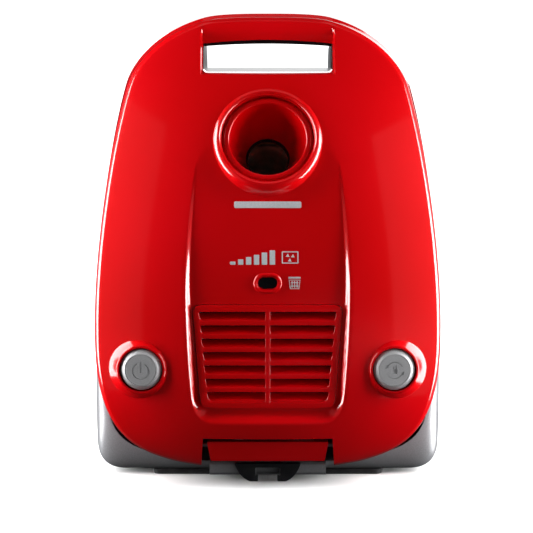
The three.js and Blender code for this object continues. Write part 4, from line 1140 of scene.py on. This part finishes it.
def make_caster():
    swivel = backward(0, CASTER_Z)
    axle = across(CASTER_AXLE_Y, CASTER_AXLE_Z)
    socket = lathe([(5.6, BASE_BACK + 0.3), (20, BASE_BACK + 0.3), (20, 85.2), (18.6, 86.2), (5.6, 86.2)],
                   swivel, 72, 0.3)
    keep(socket, "caster_socket_fine", "base", "black_plastic", ["caster_socket"])
    cheek = rounded([(86.8, 275), (105, 275), (105, 285), (99, 300), (86.8, 300)], 5, 5)
    cheeks = [side_prism(cheek, x0, x1, 0.5) for x0, x1 in ((9.2, 12), (-12, -9.2))]
    fork = add(rod(16, 86.6, 89, swivel, 64, 0.6), rod(5, 72, 87, swivel, 32), *cheeks)
    fork = cut(fork, rod(2.6, -20, 20, axle, 24), rod(CASTER_R + 1.2, -9.2, 9.2, axle, 48))
    keep(fork, "caster_fork_fine", "caster", "black_plastic", ["caster_fork"])
    half = [(2.6, 8), (8.5, 8), (9.4, 7), (10.4, 7.6), (CASTER_R, 6.6)]
    wheel = lathe([(radius, -x) for radius, x in half] + half[::-1], axle, 72, 0.8)
    keep(wheel, "caster_wheel_fine", "caster_roller", "rubber", ["caster_wheel"])
    keep(rod(2.3, -12.5, 12.5, axle, 32, 0.4), "caster_axle_fine", "caster", "steel", ["caster_axle"])


def make_rear_end():
    slot = [(9.6, 11), (9.6, 4.3), (7.5, 4.3), (7.5, 0), (14, 0)]
    edge = [tuple(p) for p in bezier((14, 0), (18.5, 1.5), (23.5, 6), (26, 14.2), 12)]
    outline = [(-x, z) for x, z in slot[::-1]] + slot + edge + [(-x, z) for x, z in edge[::-1]]
    bracket = plate_with_holes(rounded(outline, 0.6, 2), [], -73, -67, 0.4)
    keep(bracket, "parking_bracket_fine", "base", "black_plastic", ["parking_bracket"])
    section = rounded([(-66.7, 5.5), (-64, 3.5), (-40.4, 3.5), (-40.4, 14.2), (-64, 14.2), (-66.7, 12)],
                      0.7, 3)
    block = side_prism(section, -45.8, 45.8)
    posts = [box(12.9, 16, -58, -54, 13, 31.5, 0.3), box(-16, -12.9, -58, -54, 13, 31.5, 0.3),
             box(-16, 16, -58, -54, 28, 31.5, 0.3)]
    panel = cut(add(block, *posts), box(-9, 9, -70, -58, 4.3, 11.5))
    keep(panel, "insert_panel_fine", "base", "silver_plastic", ["insert_panel"])
    strip = prism(rectangle(-91, 91, -46.5, 51.5, 6, 6), 0, 3.8, Matrix.Identity(4), 0.5)
    grooves = [box(x - 0.8, x + 0.8, -38, 46, -1, 0.9) for x in np.arange(-84, 85, 8.0)]
    strip = cut(strip, box(-46.5, 46.5, -60, -39.8, -1, 6), *grooves)
    keep(strip, "rest_strip_fine", "base", "rubber", ["rest_strip"])
    gland = lathe([(4.5, 1.9), (8.2, 1.9), (8.2, 3.1), (6.6, 3.1), (6.6, 6.9), (7.8, 6.9), (7.8, 8.4),
                   (4.5, 8.4)], upward(GLAND_X, GLAND_Y), 64, 0.4)
    keep(gland, "cord_gland_fine", "base", "rubber", ["cord_gland"])
    names = ["bulkhead_screw_left", "bulkhead_screw_right", "reel_screw_left", "reel_screw_right"]
    for name, (x, z) in zip(names, SCREWS):
        head = lathe([(0, 84.3), (4.2, 84.3), (4.0, 85.4), (2.8, 86.2), (0, 86.4)], backward(x, z), 48)
        cross = [box(x - wide, x + wide, 85.1, 88, z - tall, z + tall)
                 for wide, tall in ((2.4, 0.4), (0.4, 2.4))]
        screw = join(cut(head, *cross), rod(1.8, 70, 84.4, backward(x, z), 24))
        keep(screw, f"{name}_fine", "base", "steel", [name])


# ---------- dust bag ----------
def bag_shape(shrink, rows=26, count=60):
    """The bag as a soft box with round corners."""
    rings = []

    def soft(value, power):
        return math.copysign(abs(value) ** power, value)

    for r in range(rows + 1):
        angle = math.pi * (0.02 + 0.96 * r / rows)
        height, girth = soft(math.cos(angle), 0.6), math.sin(angle) ** 0.45
        line = []
        for i in range(count):
            turn = 2 * math.pi * i / count
            line.append(((BAG["half_x"] - shrink) * girth * soft(math.cos(turn), 0.6),
                         BAG["y"] + (BAG["half_y"] - shrink) * girth * soft(math.sin(turn), 0.6),
                         BAG["z"] + (BAG["half_z"] - shrink) * height))
        rings.append(np.array(line))
    return rings


def inflate(bag, limit):
    """Swells the bag as cloth under pressure, moving no point by more than limit."""
    rest = np.array([v.co for v in bag.data.vertices])
    collar = [v.index for v in bag.data.vertices if v.co.y < -30 * MM]
    group = bag.vertex_groups.new(name="collar")
    group.add(collar, 1.0, "REPLACE")
    cloth = bag.modifiers.new("cloth", "CLOTH")
    cloth.settings.quality = 5
    cloth.settings.use_pressure = True
    cloth.settings.uniform_pressure_force = 4
    cloth.settings.effector_weights.gravity = 0
    cloth.settings.vertex_group_mass = "collar"
    cloth.settings.tension_stiffness = 25
    cloth.settings.compression_stiffness = 25
    cloth.settings.bending_stiffness = 0.3
    cloth.point_cache.frame_start, cloth.point_cache.frame_end = 1, 20
    scene = bpy.context.scene
    for number in range(1, 21):
        scene.frame_set(number)
    evaluated(bag)
    scene.frame_set(1)
    moved = np.array([v.co for v in bag.data.vertices])
    shift = moved - rest
    size = np.linalg.norm(shift, axis=1, keepdims=True)
    shift *= np.minimum(1, limit * MM / np.maximum(size, 1e-9))
    bag.data.vertices.foreach_set("co", (rest + shift).ravel())
    bag.vertex_groups.clear()
    return bag


def pleat(bag):
    """Folds and creases in the fleece: soft noise, and gussets along the two narrow sides."""
    for vertex in bag.data.vertices:
        x, y, z = (value / MM for value in vertex.co)
        if y < -14:
            continue
        crease = noise.noise(Vector((x * 0.035, y * 0.06, z * 0.05)))
        crease += 0.5 * noise.noise(Vector((x, y, z)) * 0.11)
        gusset = math.exp(-((y - BAG["y"]) / 7) ** 2) * max(0, (abs(x) - 60) / 38)
        outward = Vector((x, (y - BAG["y"]) * 2.2, (z - BAG["z"]) * 1.2)).normalized()
        vertex.co += outward * (1.1 * crease - 5.0 * gusset - 0.6) * MM
    return bag


def make_bag():
    shrink = 6
    body = loft(bag_shape(shrink))
    bag = cut(add(body, rod(22, -92, -59.3, AT_PORT, 48)), rod(17, -98, -58, AT_PORT, 48))
    remesh = bag.modifiers.new("remesh", "REMESH")
    remesh.mode = "VOXEL"
    remesh.voxel_size = 5 * MM
    evaluated(bag)
    bag = inflate(bag, 5)
    pleat(bag)
    smooth = bag.modifiers.new("smooth", "SUBSURF")
    smooth.levels = smooth.render_levels = 1
    evaluated(bag)
    keep(bag, "dust_bag_fleece", "base", "bag_fleece", ["dust_bag"], crease=180)


# ---------- stage ----------
def make_floor():
    """A pale floor, wide enough that its far edge melts into the white behind."""
    reach = 30.0
    mesh = bpy.data.meshes.new("studio_floor")
    corners = [(-reach, -reach, 0), (reach, -reach, 0), (reach, reach, 0), (-reach, reach, 0)]
    mesh.from_pydata(corners, [], [(0, 1, 2, 3)])
    floor = linked("studio_floor", mesh)
    material = new_material("studio_white", (0.86, 0.86, 0.86), 0.6)
    grain(material, 8, 0.02, 0.001)
    mesh.materials.append(material)
    floor.visible_diffuse = floor.visible_glossy = False
    return floor


def add_light(name, place, target, width, height, power):
    light = bpy.data.lights.new(name, "AREA")
    light.shape, light.size, light.size_y, light.energy = "RECTANGLE", width, height, power
    obj = linked(name, light)
    obj.location = place
    obj.rotation_euler = (Vector(target) - Vector(place)).to_track_quat("-Z", "Y").to_euler()
    return obj


def light_floor_only(lamp, floor):
    """The lamp reaches only the floor, though the vacuum cleaner still casts its shadow there."""
    receivers = bpy.data.collections.new("floor_receivers")
    receivers.objects.link(floor)
    lamp.light_linking.receiver_collection = receivers


def make_world():
    """White for the camera, and very dim for every other ray."""
    world = bpy.data.worlds.new("studio")
    bpy.context.scene.world = world
    world.use_nodes = True
    nodes, links = world.node_tree.nodes, world.node_tree.links
    dim = nodes["Background"]
    dim.inputs["Color"].default_value, dim.inputs["Strength"].default_value = (1, 1, 1, 1), 0.02
    white = nodes.new("ShaderNodeBackground")
    white.inputs["Color"].default_value, white.inputs["Strength"].default_value = (1, 1, 1, 1), 1.1
    path, mix = nodes.new("ShaderNodeLightPath"), nodes.new("ShaderNodeMixShader")
    links.new(path.outputs["Is Camera Ray"], mix.inputs["Fac"])
    links.new(dim.outputs["Background"], mix.inputs[1])
    links.new(white.outputs["Background"], mix.inputs[2])
    links.new(mix.outputs["Shader"], nodes["World Output"].inputs["Surface"])


def make_lights(floor):
    """Softboxes and dim cards on both sides, one box overhead, one behind, a low fill and the floor's sun."""
    sides = ((-1, "left", 15, 0.35, 0.28), (1, "right", 17, 0.5, 0.2))
    for side, word, power, card, height in sides:
        add_light(f"softbox_{word}", (side * 0.62, -0.12, height), (side * 0.1, -0.08, 0.2), 0.36, 0.9, power)
        add_light(f"card_{word}", (side * 0.95, -1.1, height + 0.1), (0, 0, 0.25), 0.5, 2.0, card)
    add_light("softbox_top", (0, 0.05, 1.5), (0, 0, 0.2), 1.1, 0.6, 0.5)
    fill = add_light("softbox_low", (0.3, -0.6, 0.05), (0.04, -0.1, 0.03), 0.6, 0.08, 0.6)
    fill.visible_glossy = False
    add_light("softbox_back", (0.5, 1.6, 0.8), (0, 0, 0.2), 1.4, 1.0, 8)
    sun = bpy.data.lights.new("floor_light", "SUN")
    sun.energy, sun.angle = 8.0, math.radians(64)
    lamp = linked("floor_light", sun)
    lamp.rotation_euler = (math.radians(-16), 0, 0)
    light_floor_only(lamp, floor)


def make_camera():
    """Long lens, level with the hose port, looking a little down."""
    data = bpy.data.cameras.new("camera")
    data.lens, data.sensor_width = 142.5, 36
    data.shift_x = -0.00225
    data.dof.use_dof = False
    camera = linked("camera", data)
    distance, elevation, target = 1.7, math.radians(7), Vector((0, -0.011, 0.1626))
    back = Vector((0, -math.cos(elevation), math.sin(elevation)))
    camera.location = target + back * distance
    camera.rotation_euler = (-back).to_track_quat("-Z", "Y").to_euler()
    bpy.context.scene.camera = camera
    bpy.context.scene.view_settings.view_transform = "Standard"


make_camera()
make_world()
make_lights(make_floor())
dress_cad_nodes()
make_lid()
make_port()
make_grille()
make_indicator()
make_button(-1, "power_button", "power_key", power_marks())
make_button(1, "rewind_button", "rewind_key", rewind_marks())
make_latch()
make_prints()
make_tub()
make_handle()
make_wheel(-1, "left")
make_wheel(1, "right")
make_caster()
make_rear_end()
make_bag()
